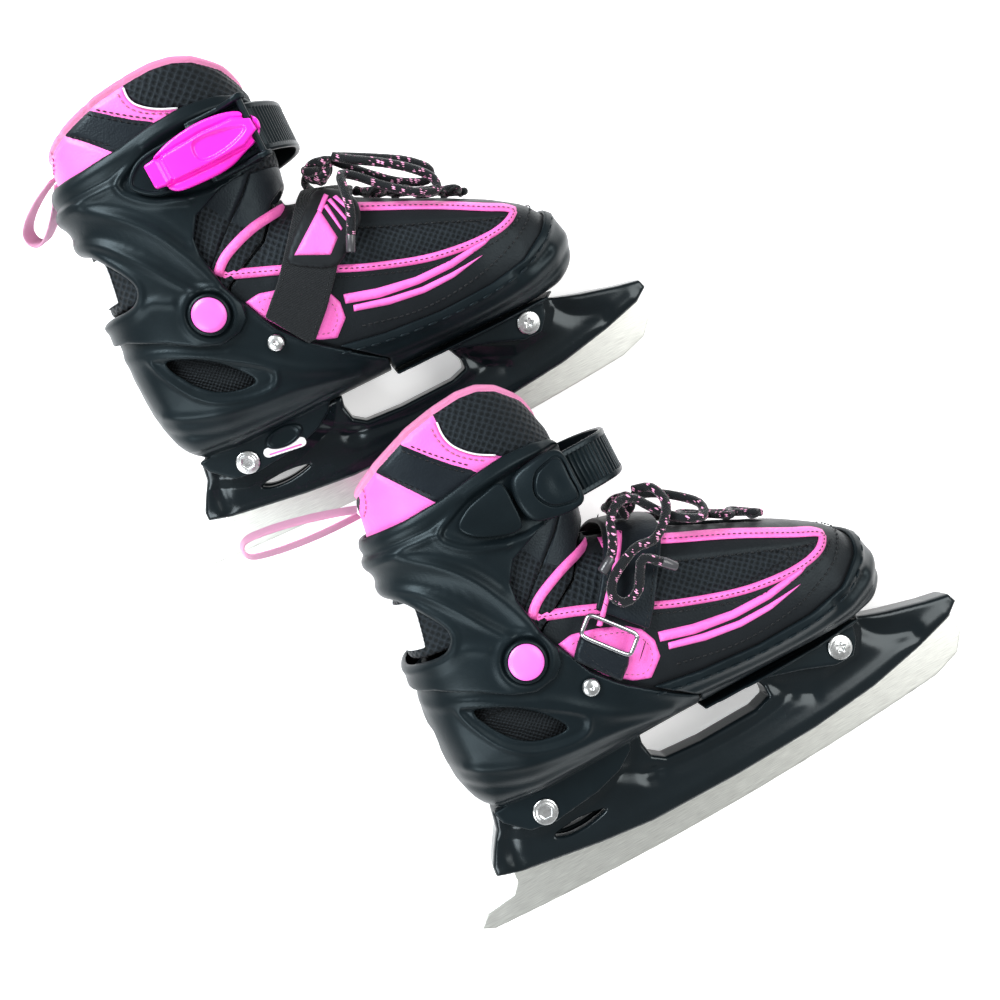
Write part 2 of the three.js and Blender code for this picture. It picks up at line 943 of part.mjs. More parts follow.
const finish = {
  steel: material(0x9da09c, 0.35, 1),
  zinc: material(0xc9d2d4, 0.3, 1),
  glossBlack: material(0x101418, 0.25),
  satinBlack: material(0x1c2124, 0.45),
  pinkPlastic: material(0xf564e6, 0.4),
  magentaPlastic: material(0xf53fe0, 0.4),
  blackFabric: material(0x15181c, 0.85),
  blackLeather: material(0x1a2026, 0.5),
  pinkLeather: material(0xf77fe0, 0.5),
  pinkWebbing: material(0xf09ad0, 0.8),
  lace: material(0x17141a, 0.8),
};

// ---- one skate ----
function buildSkate(side, { strapBulge, collarRise, heelLoop }) {
  const skate = new THREE.Group();
  const add = (name, solid, surface) => {
    const mesh = new THREE.Mesh(toGeometry(solid), surface);
    mesh.name = `${side}_${name}`;
    skate.add(mesh);
  };
  add("blade", makeBlade(), finish.steel);
  add("blade_holder", makeHolder(), finish.glossBlack);
  add("rear_bolt", makeBolt(REAR_BOLT), finish.zinc);
  add("front_bolt", makeBolt(FRONT_BOLT), finish.zinc);
  add("heel_shell", makeHeelShell(), finish.satinBlack);
  add("sole_plate", makeSolePlate(), finish.satinBlack);
  add("size_button", makeSizeButton(), finish.satinBlack);
  add("toe_shell", makeToeShell(), finish.satinBlack);
  add("upper", makeUpper(), finish.blackLeather);
  add("tongue", makeTongue(), finish.blackFabric);
  add("liner_boot", makeLiner(), finish.blackFabric);
  add("liner_collar", makeCollar(collarRise), finish.pinkLeather);
  add("cuff", makeCuff(), finish.satinBlack);
  add("outer_pivot_cap", makePivotCap(1), finish.pinkPlastic);
  add("inner_pivot_cap", makePivotCap(-1), finish.pinkPlastic);
  add("outer_side_rivet", makeSideRivet(1), finish.zinc);
  add("inner_side_rivet", makeSideRivet(-1), finish.zinc);
  add("buckle_base", makeBuckleBase(), finish.glossBlack);
  add("buckle_lever", makeLever(), finish.magentaPlastic);
  add("ratchet_strap", makeRatchetStrap(strapBulge), finish.satinBlack);
  add("strap_receiver", makeReceiver(), finish.satinBlack);
  add("release_button", makeReleaseButton(), finish.satinBlack);
  add("instep_strap", makeInstepStrap(), finish.blackLeather);
  add("strap_ring", makeStrapRing(), finish.zinc);
  add("ring_tab", makeRingTab(), finish.blackLeather);
  add("heel_loop", makeHeelLoop(heelLoop), finish.pinkWebbing);
  const routes = LACE_ROUTES[side];
  const knot = makeLaceKnot(routes.knot);
  add("lace_rows", makeLaceRows(), finish.lace);
  add("lace_knot", knot, finish.lace);
  add("lace_first", cord(routes.first, LACE_RADIUS, 24), finish.lace);
  add("lace_second", cord(routes.second, LACE_RADIUS, 24), finish.lace);
  return skate;
}

// Turns a skate onto its side and lowers it until it touches the floor, z = 0.
function layDown(skate, { x, y, lean, pitch }, mirrored) {
  const laid = new THREE.Group();
  if (mirrored) skate.scale.z = -1;
  laid.add(skate);
  laid.rotation.set(THREE.MathUtils.degToRad(lean), THREE.MathUtils.degToRad(pitch), 0);
  laid.updateMatrixWorld(true);
  laid.position.set(x, y, -new THREE.Box3().setFromObject(laid, true).min.z);
  return laid;
}

const pair = new THREE.Group();
const rightSkate = buildSkate("right", {
  strapBulge: 73,
  collarRise: 0.65,
  heelLoop: { length: 40, angle: 208, drop: 35, height: 86 },
});
const leftSkate = buildSkate("left", {
  strapBulge: 86,
  collarRise: 1,
  heelLoop: { length: 56, angle: 171, drop: 0, height: 92 },
});
pair.add(layDown(rightSkate, RIGHT_PLACE, false));
pair.add(layDown(leftSkate, LEFT_PLACE, true));
// The origin is on the floor under the middle of the pair.
const middle = new THREE.Box3().setFromObject(pair, true).getCenter(new THREE.Vector3());
pair.position.set(-middle.x, -middle.y, 0);

export default pair;
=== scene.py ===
"""Visual model of a pair of children's adjustable ice skates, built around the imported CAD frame.

Shapes are made once, in skate-local millimetres: x forward and y up from the cuff pivot, z outward
(lateral). Each is then placed twice, and the left skate is the mirror image of the right one.
Hard shells and padding are level sets of the boot's form, turned into smooth meshes.
"""

import json
import math

import bpy
import numpy as np
from mathutils import Matrix, Vector
from mathutils.geometry import delaunay_2d_cdt


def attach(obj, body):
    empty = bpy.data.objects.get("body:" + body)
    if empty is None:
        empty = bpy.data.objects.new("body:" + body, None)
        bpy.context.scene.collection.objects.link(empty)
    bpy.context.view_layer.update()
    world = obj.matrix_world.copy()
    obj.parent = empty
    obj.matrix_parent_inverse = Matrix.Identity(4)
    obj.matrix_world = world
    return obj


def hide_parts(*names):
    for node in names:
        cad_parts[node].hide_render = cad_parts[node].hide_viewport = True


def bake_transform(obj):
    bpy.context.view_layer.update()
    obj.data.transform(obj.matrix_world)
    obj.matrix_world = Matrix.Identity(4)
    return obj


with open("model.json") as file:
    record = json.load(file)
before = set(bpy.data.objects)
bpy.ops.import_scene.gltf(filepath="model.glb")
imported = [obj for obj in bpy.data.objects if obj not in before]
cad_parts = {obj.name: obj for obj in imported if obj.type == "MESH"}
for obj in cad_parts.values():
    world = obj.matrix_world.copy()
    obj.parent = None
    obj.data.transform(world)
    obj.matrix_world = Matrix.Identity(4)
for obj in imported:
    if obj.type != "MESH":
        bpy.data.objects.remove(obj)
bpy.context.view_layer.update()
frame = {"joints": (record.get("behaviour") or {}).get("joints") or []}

SIDES = ("right", "left")
FINE = 0.9  # mesh step of the large mouldings, mm
SMALL = 0.45  # mesh step of the buckle parts, mm

# ---------------------------------------------------------------- the boot's form
SQUARENESS = 2.6  # power of the superellipses that the sections are
SOLE_Y = -66.0
SHELL_WALL = 2.4
# Sections of the foot along x: x, underside, top, half width.
FOOT = np.array(
    [
        [-53, -46, -6, 12],
        [-50, -56, 2, 22],
        [-42, -64, 8, 30],
        [-20, SOLE_Y, 14, 36],
        [8, SOLE_Y, 26, 38],
        [35, SOLE_Y, 34, 38],
        [55, SOLE_Y, 35, 38],
        [80, SOLE_Y, 28, 38],
        [104, SOLE_Y, 16, 38],
        [128, SOLE_Y, 5, 37.5],
        [150, SOLE_Y, -6, 34],
        [166, -64, -16, 27],
        [176, -58, -28, 17],
        [180, -50, -38, 8],
    ],
    float,
)
# Sections of the leg along y: y, back, front, half width.
LEG = np.array(
    [
        [-35, -53, 44, 34],
        [-12, -51, 48, 38.2],
        [4, -51.5, 51, 38.2],
        [25, -47, 56, 36.6],
        [50, -42, 62, 36.2],
        [66, -43.5, 64, 36.6],
        [82, -39.5, 63, 36.6],
        [105, -36, 60, 36],
        [128, -30, 52, 33],
    ],
    float,
)


def sections(rows, at, blur):
    """Columns of a section table at some stations, with the table's corners smoothed."""
    fine = np.arange(rows[0, 0] - 20, rows[-1, 0] + 20, 0.5)
    reach = np.arange(-3 * blur, 3 * blur + 0.1, 0.5)
    kernel = np.exp(-0.5 * (reach / blur) ** 2)
    kernel /= kernel.sum()
    out = []
    for column in rows.T[1:]:
        values = np.pad(np.interp(fine, rows[:, 0], column), len(kernel) // 2, mode="edge")
        smoothed = np.convolve(values, kernel, "valid")[: len(fine)]
        out.append(np.interp(at, fine, smoothed))
    return out


def leg_sections(y):
    return sections(LEG, y, 5)


def foot_sections(x):
    return sections(FOOT, x, 2.5)


# ---------------------------------------------------------------- fields on a grid
class Grid:
    """A box of sample points; x, y and z broadcast against each other."""

    def __init__(self, low, high, step=None):
        self.step = step or FINE
        self.low = np.array(low, float)
        self.count = np.ceil((np.array(high) - self.low) / self.step).astype(int) + 1
        axes = [self.low[i] + self.step * np.arange(self.count[i]) for i in range(3)]
        self.x = axes[0][:, None, None]
        self.y = axes[1][None, :, None]
        self.z = axes[2][None, None, :]

    def view(self, points):
        """Signed distance from a closed outline in the side view."""
        return outline(points, self.x, self.y)

    def ridges(self, *rows):
        """Sum of rounded ridges, each given by its path, width and height."""
        return sum(ridge(*row, self.x, self.y) for row in rows)


def smooth_max(a, b, r):
    h = np.maximum(r - np.abs(a - b), 0) / r
    return np.maximum(a, b) + h * h * r / 4


def smooth_min(a, b, r):
    return -smooth_max(-a, -b, r)


def ring_level(u, w, scale_u, scale_w):
    """A superellipse's level, and its squared slope, at scaled distances u and w."""
    n = SQUARENESS
    un, wn = u ** (n - 1), w ** (n - 1)
    total = u * un + w * wn + 1e-9
    slope = total ** ((1 - n) / n)
    return total ** (1 / n), slope**2 * ((un * scale_u) ** 2 + (wn * scale_w) ** 2)


def leg_field(g):
    back, front, half = (c[None, :, None] for c in leg_sections(g.y.ravel()))
    reach = (front - back) / 2
    level, slope2 = ring_level(
        np.abs(g.x - (front + back) / 2) / reach, np.abs(g.z) / half, 1 / reach, 1 / half
    )
    return (level - 1) / np.sqrt(np.maximum(slope2, 1e-5))


def foot_field(g):
    under, top, half = (c[:, None, None] for c in foot_sections(g.x.ravel()))
    rise = (top - under) / 2
    level, slope2 = ring_level(
        np.abs(g.y - (top + under) / 2) / rise, np.abs(g.z) / half, 1 / rise, 1 / half
    )
    drift = np.gradient(level, g.step, axis=0)
    inside = (level - 1) / np.sqrt(np.maximum(slope2 + drift**2, 1e-5))
    ends = np.maximum(FOOT[0, 0] - 0.5 - g.x, g.x - FOOT[-1, 0] - 0.5)
    return smooth_max(inside, ends, 5)


def boot_field(g):
    leg = smooth_max(leg_field(g), LEG[0, 0] - g.y, 6)
    return smooth_min(leg, foot_field(g), 3)


def layer(field, inset, thickness):
    return np.abs(field + inset + thickness / 2) - thickness / 2


# ---------------------------------------------------------------- outlines in the side view
def curve(points, closed=True, steps=6):
    """A smooth line through points of any dimension (centripetal Catmull-Rom)."""
    p = np.array(points, float)
    if closed:
        p = np.vstack([p[-1:], p, p[:2]])
    else:
        p = np.vstack([2 * p[:1] - p[1:2], p, 2 * p[-1:] - p[-2:-1]])
    out = []
    for a, b, c, d in zip(p, p[1:], p[2:], p[3:]):
        ts = np.cumsum([0] + [max(np.linalg.norm(v - u), 1e-6) ** 0.5 for u, v in ((a, b), (b, c), (c, d))])
        t = np.linspace(ts[1], ts[2], steps, endpoint=False)[:, None]
        ab = ((ts[1] - t) * a + t * b) / ts[1]
        bc = ((ts[2] - t) * b + (t - ts[1]) * c) / (ts[2] - ts[1])
        cd = ((ts[3] - t) * c + (t - ts[2]) * d) / (ts[3] - ts[2])
        abc = ((ts[2] - t) * ab + t * bc) / ts[2]
        bcd = ((ts[3] - t) * bc + (t - ts[1]) * cd) / (ts[3] - ts[1])
        out.append(((ts[2] - t) * abc + (t - ts[1]) * bcd) / (ts[2] - ts[1]))
    if not closed:
        out.append(p[-2:-1])
    return np.vstack(out)


def line_distance(points, x, y, closed=False):
    """Distance from (x, y) to a line, and for a closed one which points lie inside."""
    p = np.array(points, float)
    q = np.roll(p, -1, axis=0)
    if not closed:
        p, q = p[:-1], q[:-1]
    x, y = np.broadcast_arrays(x, y)
    best = np.full(x.shape, 1e9)
    inside = np.zeros(x.shape, bool)
    for (ax, ay), (bx, by) in zip(p, q):
        dx, dy = bx - ax, by - ay
        t = np.clip(((x - ax) * dx + (y - ay) * dy) / max(dx * dx + dy * dy, 1e-9), 0, 1)
        best = np.minimum(best, (x - ax - t * dx) ** 2 + (y - ay - t * dy) ** 2)
        if closed and ay != by:
            inside ^= ((ay > y) != (by > y)) & (x < dx * (y - ay) / dy + ax)
    return np.sqrt(best), inside


def outline(points, x, y):
    """Signed distance in the side view: negative inside the closed outline."""
    distance, inside = line_distance(points, x, y, closed=True)
    return np.where(inside, -distance, distance)


def ridge(path, width, height, x, y):
    """Height of a rounded ridge along a smooth path; a negative height is a groove."""
    distance, _ = line_distance(curve(path, closed=False), x, y)
    return height * np.exp(-((distance / width) ** 2))


# ---------------------------------------------------------------- meshes
class Shape:
    """Vertices and faces in skate-local millimetres, with optional normals and material numbers."""

    def __init__(self, verts, faces, normals=None, finishes=None):
        self.verts = np.asarray(verts, float)
        self.faces = [tuple(f) for f in faces]
        self.normals = normals
        self.finishes = finishes


def joined(*shapes):
    verts, faces, start = [], [], 0
    for shape in shapes:
        verts.append(shape.verts)
        faces += [tuple(i + start for i in f) for f in shape.faces]
        start += len(shape.verts)
    return Shape(np.vstack(verts), faces)


def both(make):
    """A shape and its twin on the other face of the boot."""
    return joined(make(1), make(-1))


def level_mesh(field, g):
    """The zero level of a field as a quad mesh (surface nets), with the field's own normals."""
    count = np.array(field.shape)
    cells = count - 1
    total = int(np.prod(cells))
    sums, hits = np.zeros((3, total)), np.zeros(total)
    inside = field < 0
    quads = []
    for axis in range(3):
        low = [slice(None)] * 3
        high = [slice(None)] * 3
        low[axis], high[axis] = slice(0, -1), slice(1, None)
        found = np.argwhere(inside[tuple(low)] != inside[tuple(high)])
        ends = found.copy()
        ends[:, axis] += 1
        a, b = field[tuple(found.T)], field[tuple(ends.T)]
        points = found.astype(float)
        points[:, axis] += a / (a - b)
        u, v = (axis + 1) % 3, (axis + 2) % 3
        corners = []
        whole = np.ones(len(found), bool)
        for du, dv in ((0, 0), (1, 0), (1, 1), (0, 1)):
            cell = found.copy()
            cell[:, u] -= du
            cell[:, v] -= dv
            valid = np.all((cell >= 0) & (cell < cells), axis=1)
            whole &= valid
            flat = (cell[:, 0] * cells[1] + cell[:, 1]) * cells[2] + cell[:, 2]
            corners.append(flat)
            for k in range(3):
                sums[k] += np.bincount(flat[valid], points[valid, k], total)
            hits += np.bincount(flat[valid], minlength=total)
        quad = np.stack(corners, 1)[whole]
        out = (a < 0)[whole]
        quads.append(np.where(out[:, None], quad, quad[:, ::-1]))
    used = np.flatnonzero(hits)
    number = np.full(total, -1)
    number[used] = np.arange(len(used))
    index = (sums[:, used] / hits[used]).T
    faces = number[np.vstack(quads)]
    normals = slopes(field, index)
    return Shape(g.low + index * g.step, faces.tolist(), normals)


def sample(field, index):
    """Trilinear values of a field at fractional grid positions."""
    top = np.array(field.shape) - 1.001
    p = np.clip(index, 0, top)
    i = p.astype(int)
    f = p - i
    value = 0
    for dx in (0, 1):
        for dy in (0, 1):
            for dz in (0, 1):
                weight = (
                    np.abs(1 - dx - f[:, 0]) * np.abs(1 - dy - f[:, 1]) * np.abs(1 - dz - f[:, 2])
                )
                value = value + weight * field[i[:, 0] + dx, i[:, 1] + dy, i[:, 2] + dz]
    return value


def slopes(field, index):
    out = np.empty(index.shape)
    for k in range(3):
        step = np.zeros(3)
        step[k] = 0.6
        out[:, k] = sample(field, index + step) - sample(field, index - step)
    return out / np.maximum(np.linalg.norm(out, axis=1, keepdims=True), 1e-9)


def tube(path, radius, sides=10, closed=False, flat=1.0):
    """A round cord along a path; radius may vary from point to point."""
    p = np.array(path, float)
    n = len(p)
    radius = np.broadcast_to(radius, n)
    along = np.roll(p, -1, 0) - np.roll(p, 1, 0)
    if not closed:
        along[0], along[-1] = p[1] - p[0], p[-1] - p[-2]
    along /= np.linalg.norm(along, axis=1, keepdims=True)
    normal = np.cross(along[0], [0.3, 0.2, 1.0])
    verts = []
    angle = np.linspace(0, 2 * math.pi, sides, endpoint=False)
    for i in range(n):
        normal = normal - along[i] * normal.dot(along[i])
        normal /= np.linalg.norm(normal)
        other = np.cross(along[i], normal)
        verts.append(
            p[i] + radius[i] * (np.cos(angle)[:, None] * normal + flat * np.sin(angle)[:, None] * other)
        )
    faces = []
    for i in range(n if closed else n - 1):
        a, b = i * sides, ((i + 1) % n) * sides
        faces += [(a + j, a + (j + 1) % sides, b + (j + 1) % sides, b + j) for j in range(sides)]
    verts = np.vstack(verts)
    if not closed:
        faces.append(tuple(range(sides))[::-1])
        faces.append(tuple(range((n - 1) * sides, n * sides)))
    return Shape(verts, faces)


def turned(profile, x, y, z, sides=48, axis_sign=1):
    """A turned piece about a line along z: profile of [radius, height], from axis to axis."""
    angle = np.linspace(0, 2 * math.pi, sides, endpoint=False)
    verts, faces = [], []
    for r, h in profile:
        level = np.full(sides, z + axis_sign * h)
        verts.append(np.stack([x + r * np.cos(angle), y + r * np.sin(angle), level], 1))
    for i in range(len(profile) - 1):
        a, b = i * sides, (i + 1) * sides
        for j in range(sides):
            face = (a + j, a + (j + 1) % sides, b + (j + 1) % sides, b + j)
            faces.append(face if axis_sign > 0 else face[::-1])
    return Shape(np.vstack(verts), faces)


def resampled(path, step):
    """Points at even spacing along a path."""
    p = np.array(path, float)
    run = np.concatenate([[0], np.cumsum(np.linalg.norm(np.diff(p, axis=0), axis=1))])
    count = max(int(round(run[-1] / step)), 1)
    at = np.linspace(0, run[-1], count + 1)
    return np.stack([np.interp(at, run, p[:, k]) for k in range(p.shape[1])], 1)


def left_of(line):
    """Unit vectors to the left of a flat path."""
    along = np.gradient(line, axis=0)
    along /= np.linalg.norm(along, axis=1, keepdims=True)
    return np.stack([-along[:, 1], along[:, 0]], 1)


def swept(rows, flip=False):
    """A bar whose rows of vertices run side by side along one path."""
    n, m = len(rows[0]), len(rows)
    faces = []
    for r in range(m):
        for i in range(n - 1):
            a, b = r * n + i, (r + 1) % m * n + i
            faces.append((a, b, b + 1, a + 1))
    faces.append(tuple(range(0, m * n, n))[::-1])
    faces.append(tuple(range(n - 1, m * n, n)))
    if flip:
        faces = [(f[0], *f[:0:-1]) for f in faces]
    return Shape(np.vstack(rows), faces)


def spun(verts, degrees, i, j):
    """Vertices turned about a main axis, from axis i towards axis j."""
    c, s = math.cos(math.radians(degrees)), math.sin(math.radians(degrees))
    out = verts.copy()
    out[:, i] = verts[:, i] * c - verts[:, j] * s
    out[:, j] = verts[:, i] * s + verts[:, j] * c
    return out


# ---------------------------------------------------------------- draping things on the boot
def leg_height(x, y, out=0.0):
    back, front, half = leg_sections(y)
    u = np.clip(np.abs(x - (front + back) / 2) / ((front - back) / 2 + out), 0, 1)
    return (half + out) * (1 - u**SQUARENESS) ** (1 / SQUARENESS)


def foot_height(x, y, out=0.0):
    under, top, half = foot_sections(x)
    u = np.clip(np.abs(y - (top + under) / 2) / ((top - under) / 2 + out), 0, 1)
    return (half + out) * (1 - u**SQUARENESS) ** (1 / SQUARENESS)


def boot_height(x, y, out=0.0):
    """How far the boot's surface, set out by some distance, stands from its middle plane."""
    leg, foot = leg_height(x, y, out), foot_height(x, y, out)
    return smooth_max(np.where(y > LEG[0, 0], leg, 0), foot, 3)


def draped(path, out, height=boot_height, side=1, step=1.5, closed=False):
    """A side-view path laid on the boot as points in space."""
    line = curve(path, closed=closed) if closed or len(path) > 2 else np.array(path, float)
    if closed:
        line = np.vstack([line, line[:1]])
    p = resampled(line, step)
    if closed:
        p = p[:-1]
    return np.column_stack([p, side * height(p[:, 0], p[:, 1], out)])


def patch(points, out, thickness, height=boot_height, side=1, edge=1.0, step=1.5, under=0.8):
    """A thin panel with a rounded edge, laid on the boot inside a side-view outline."""
    border = resampled(np.vstack([points, points[:1]]), step)[:-1]
    low, high = border.min(0), border.max(0)
    xs = np.arange(low[0], high[0], step)
    ys = np.arange(low[1], high[1], step * 0.87)
    gx, gy = np.meshgrid(xs, ys)
    gx = gx + (np.arange(len(ys)) % 2)[:, None] * step / 2
    inner = np.stack([gx.ravel(), gy.ravel()], 1)
    inner = inner[outline(border, inner[:, 0], inner[:, 1]) < -0.45 * step]
    everything = np.vstack([border, inner])
    n = len(border)
    edges = [(i, (i + 1) % n) for i in range(n)]
    verts2, _, faces, _, _, _ = delaunay_2d_cdt(
        [Vector(p) for p in everything], edges, [list(range(n))], 1, 1e-5
    )
    flat = np.array([tuple(v) for v in verts2])
    distance, _ = line_distance(np.vstack([border, border[:1]]), flat[:, 0], flat[:, 1])
    share = np.clip(distance / edge, 0, 1)
    crown = thickness * np.sqrt(1 - (1 - share) ** 2)
    base = height(flat[:, 0], flat[:, 1], out)
    top = np.column_stack([flat, side * (base + crown)])
    bottom = np.column_stack([flat, side * (base - under)])
    count = len(flat)
    upper_faces = [tuple(f) for f in faces]
    area = sum(
        flat[f[0]][0] * (flat[f[1]][1] - flat[f[2]][1])
        + flat[f[1]][0] * (flat[f[2]][1] - flat[f[0]][1])
        + flat[f[2]][0] * (flat[f[0]][1] - flat[f[1]][1])
        for f in upper_faces
    )
    if (area > 0) != (side > 0):
        upper_faces = [f[::-1] for f in upper_faces]
    lower_faces = [tuple(i + count for i in f)[::-1] for f in upper_faces]
    seen = {}
    for f in upper_faces:
        for a, b in zip(f, f[1:] + f[:1]):
            seen[(a, b)] = True
    walls = [(b, a, a + count, b + count) for a, b in seen if (b, a) not in seen]
    return Shape(np.vstack([top, bottom]), upper_faces + lower_faces + walls)


def stitches(path, out, height=boot_height, side=1, pitch=3.2, length=2.1, radius=0.42, closed=False):
    """A row of thread stitches along a side-view path."""
    p = draped(path, out, height, side, step=0.6, closed=closed)
    run = np.concatenate([[0], np.cumsum(np.linalg.norm(np.diff(p, axis=0), axis=1))])
    shapes = []
    for start in np.arange(0.3, run[-1] - length, pitch):
        at = start + length * np.array([0, 0.18, 0.5, 0.82, 1])
        line = np.stack([np.interp(at, run, p[:, k]) for k in range(3)], 1)
        shapes.append(tube(line, radius * np.array([0.15, 0.85, 1, 0.85, 0.15]), 6))
    return joined(*shapes)


# ---------------------------------------------------------------- materials
class Finish:
    """A material under construction: a principled shader and its nodes."""

    def __init__(self, name, color, roughness, metallic=0.0, space="skate", **sockets):
        self.material = bpy.data.materials.new(name)
        self.material.use_nodes = True
        self.tree = self.material.node_tree
        self.shader = self.tree.nodes["Principled BSDF"]
        self.shader.inputs["Base Color"].default_value = (*color, 1)
        self.shader.inputs["Roughness"].default_value = roughness
        self.shader.inputs["Metallic"].default_value = metallic
        if max(color) < 0.05:  # dark finishes: a faint, cool sheen
            self.shader.inputs["Specular IOR Level"].default_value = 0.17
            self.shader.inputs["Specular Tint"].default_value = (0.75, 0.93, 1, 1)
        for socket, value in sockets.items():
            self.shader.inputs[socket.replace("_", " ")].default_value = value
        self.color = color
        if space != "Object":
            place = self.node("ShaderNodeAttribute")
            place.attribute_name = space
            self.place = place.outputs["Vector"]
        else:
            self.place = self.node("ShaderNodeTexCoord").outputs["Object"]
        self.bump = None

    def fill(self, node, inputs):
        """Links or sets a node's inputs; each value is another node's output or a plain value."""
        for key, value in inputs:
            if hasattr(value, "is_output"):
                self.tree.links.new(value, node.inputs[key])
            else:
                node.inputs[key].default_value = value

    def node(self, kind, **inputs):
        node = self.tree.nodes.new(kind)
        self.fill(node, inputs.items())
        return node

    def mix(self, kind, factor, a, b, blend="MIX"):
        """Mixes two vectors ("VECTOR") or two colours ("RGBA")."""
        node = self.tree.nodes.new("ShaderNodeMix")
        node.data_type = kind
        node.blend_type = blend
        node.inputs["Factor"].default_value = factor
        self.tree.links.new(a, node.inputs["A"])
        self.tree.links.new(b, node.inputs["B"])
        return node.outputs["Result"]

    def stretched(self, scale, turn=(0, 0, 0), vector=None):
        node = self.node("ShaderNodeMapping", Vector=vector or self.place, Scale=scale, Rotation=turn)
        return node.outputs["Vector"]

    def noise(self, scale, detail=3.0, vector=None):
        place = vector or self.place
        node = self.node("ShaderNodeTexNoise", Vector=place, Scale=scale, Detail=detail, Roughness=0.55)
        return node.outputs["Fac"]

    def cells(self, scale, vector=None, randomness=1.0):
        place = vector or self.place
        node = self.node("ShaderNodeTexVoronoi", Vector=place, Scale=scale, Randomness=randomness)
        return node.outputs["Distance"]

    def wave(self, scale, direction, vector, distortion):
        place = vector or self.place
        node = self.node("ShaderNodeTexWave", Vector=place, Scale=scale, Distortion=distortion)
        node.bands_direction = direction
        return node.outputs["Fac"]

    def math(self, operation, a, b):
        node = self.tree.nodes.new("ShaderNodeMath")
        node.operation = operation
        self.fill(node, enumerate((a, b)))
        return node.outputs[0]

    def ramp(self, fac, low, high, color_low, color_high):
        node = self.node("ShaderNodeValToRGB", Fac=fac)
        node.color_ramp.elements[0].position = low
        node.color_ramp.elements[1].position = high
        node.color_ramp.elements[0].color = (*color_low, 1)
        node.color_ramp.elements[1].color = (*color_high, 1)
        return node.outputs["Color"]

    def tint(self, fac, low, high, dark, light):
        """Base colour running between two shades of the finish."""
        shade = lambda k: tuple(min(c * k, 1) for c in self.color)
        self.paint(self.ramp(fac, low, high, shade(dark), shade(light)))

    def paint(self, color):
        self.tree.links.new(color, self.shader.inputs["Base Color"])

    def gloss(self, fac, low, high):
        """Roughness running from low to high with a texture."""
        node = self.tree.nodes.new("ShaderNodeMapRange")
        self.tree.links.new(fac, node.inputs["Value"])
        node.inputs["To Min"].default_value = low
        node.inputs["To Max"].default_value = high
        self.tree.links.new(node.outputs["Result"], self.shader.inputs["Roughness"])

    def relief(self, height, distance, strength=1.0):
        """Adds a bump layer; distance is in metres."""
        node = self.node("ShaderNodeBump", Height=height, Strength=strength, Distance=distance)
        if self.bump:
            self.tree.links.new(self.bump, node.inputs["Normal"])
        self.bump = node.outputs["Normal"]
        self.tree.links.new(self.bump, self.shader.inputs["Normal"])


def make_plastic(name, color, roughness, spread=0.1, grain=0.00004, coat=0.0):
    f = Finish(name, color, roughness, Coat_Weight=coat, Coat_Roughness=0.2)
    f.tint(f.noise(35, 4), 0.3, 0.75, 0.8, 1.35)
    f.gloss(f.noise(60, 5), roughness - spread, roughness + spread)
    f.relief(f.noise(1500, 2), grain)
    scuffs = f.noise(120, 6, f.stretched((1, 4, 4), (0.2, 0.3, 0.5)))
    f.relief(scuffs, grain * 0.8)
    return f.material


def make_steel(name):
    f = Finish(name, (0.50, 0.49, 0.46), 0.34, 1.0)
    lines = f.noise(60, 6, f.stretched((2, 60, 60)))
    f.paint(f.ramp(lines, 0.3, 0.7, (0.6, 0.61, 0.58), (0.85, 0.87, 0.82)))
    f.gloss(lines, 0.28, 0.5)
    f.relief(lines, 0.00003)
    return f.material


def make_zinc(name, color=(0.72, 0.74, 0.74), roughness=0.25):
    f = Finish(name, color, roughness, 1.0)
    f.tint(f.noise(300, 4), 0.3, 0.8, 0.75, 1.15)
    f.gloss(f.noise(500, 4), roughness - 0.08, roughness + 0.15)
    f.relief(f.noise(900, 3), 0.00003)
    return f.material


def make_leather(name, color, roughness=0.42, grain=0.00012):
    f = Finish(name, color, roughness, Sheen_Weight=0.05)
    pebbles = f.cells(1100)
    f.tint(f.noise(45, 4), 0.25, 0.8, 0.82, 1.2)
    f.gloss(f.noise(200, 4), roughness - 0.07, roughness + 0.1)
    f.relief(pebbles, grain, 0.6)
    f.relief(f.noise(130, 4), 0.0003, 0.4)
    return f.material


def make_air_mesh(name, pitch=0.0027, thread=(0.011, 0.0135, 0.017)):
    """Knitted spacer mesh: a net of threads round dark holes in staggered rows."""
    f = Finish(name, thread, 0.6, space="weave", Sheen_Weight=0.08, Sheen_Roughness=0.4)
    wander = f.node("ShaderNodeTexNoise", Vector=f.place, Scale=260.0, Detail=2.0)
    moved = f.mix("VECTOR", 0.0009, f.place, wander.outputs["Color"])
    holes = f.cells(1 / pitch, f.stretched((1, 1, 0), (0, 0, math.radians(45)), moved), 0.12)
    strands = f.noise(1800, 3)
    net = f.ramp(holes, 0.26, 0.5, (0.0015, 0.0015, 0.002), thread)
    shade = f.ramp(strands, 0.35, 0.7, (0.35, 0.35, 0.35), (1.6, 1.6, 1.6))
    f.paint(f.mix("RGBA", 0.8, net, shade, "MULTIPLY"))
    f.relief(holes, 0.0009, 0.9)
    f.relief(strands, 0.0002, 0.7)
    return f.material


def make_webbing(name, color, scale, direction="X", dark=0.7):
    f = Finish(name, color, 0.7, Sheen_Weight=0.12, Sheen_Roughness=0.5)
    ribs = f.wave(scale, direction, f.stretched((1, 1, 1)), 0.6)
    f.tint(ribs, 0.1, 0.8, dark, 1.1)
    f.relief(ribs, 0.00035)
    f.relief(f.noise(2200, 2), 0.00012)
    return f.material


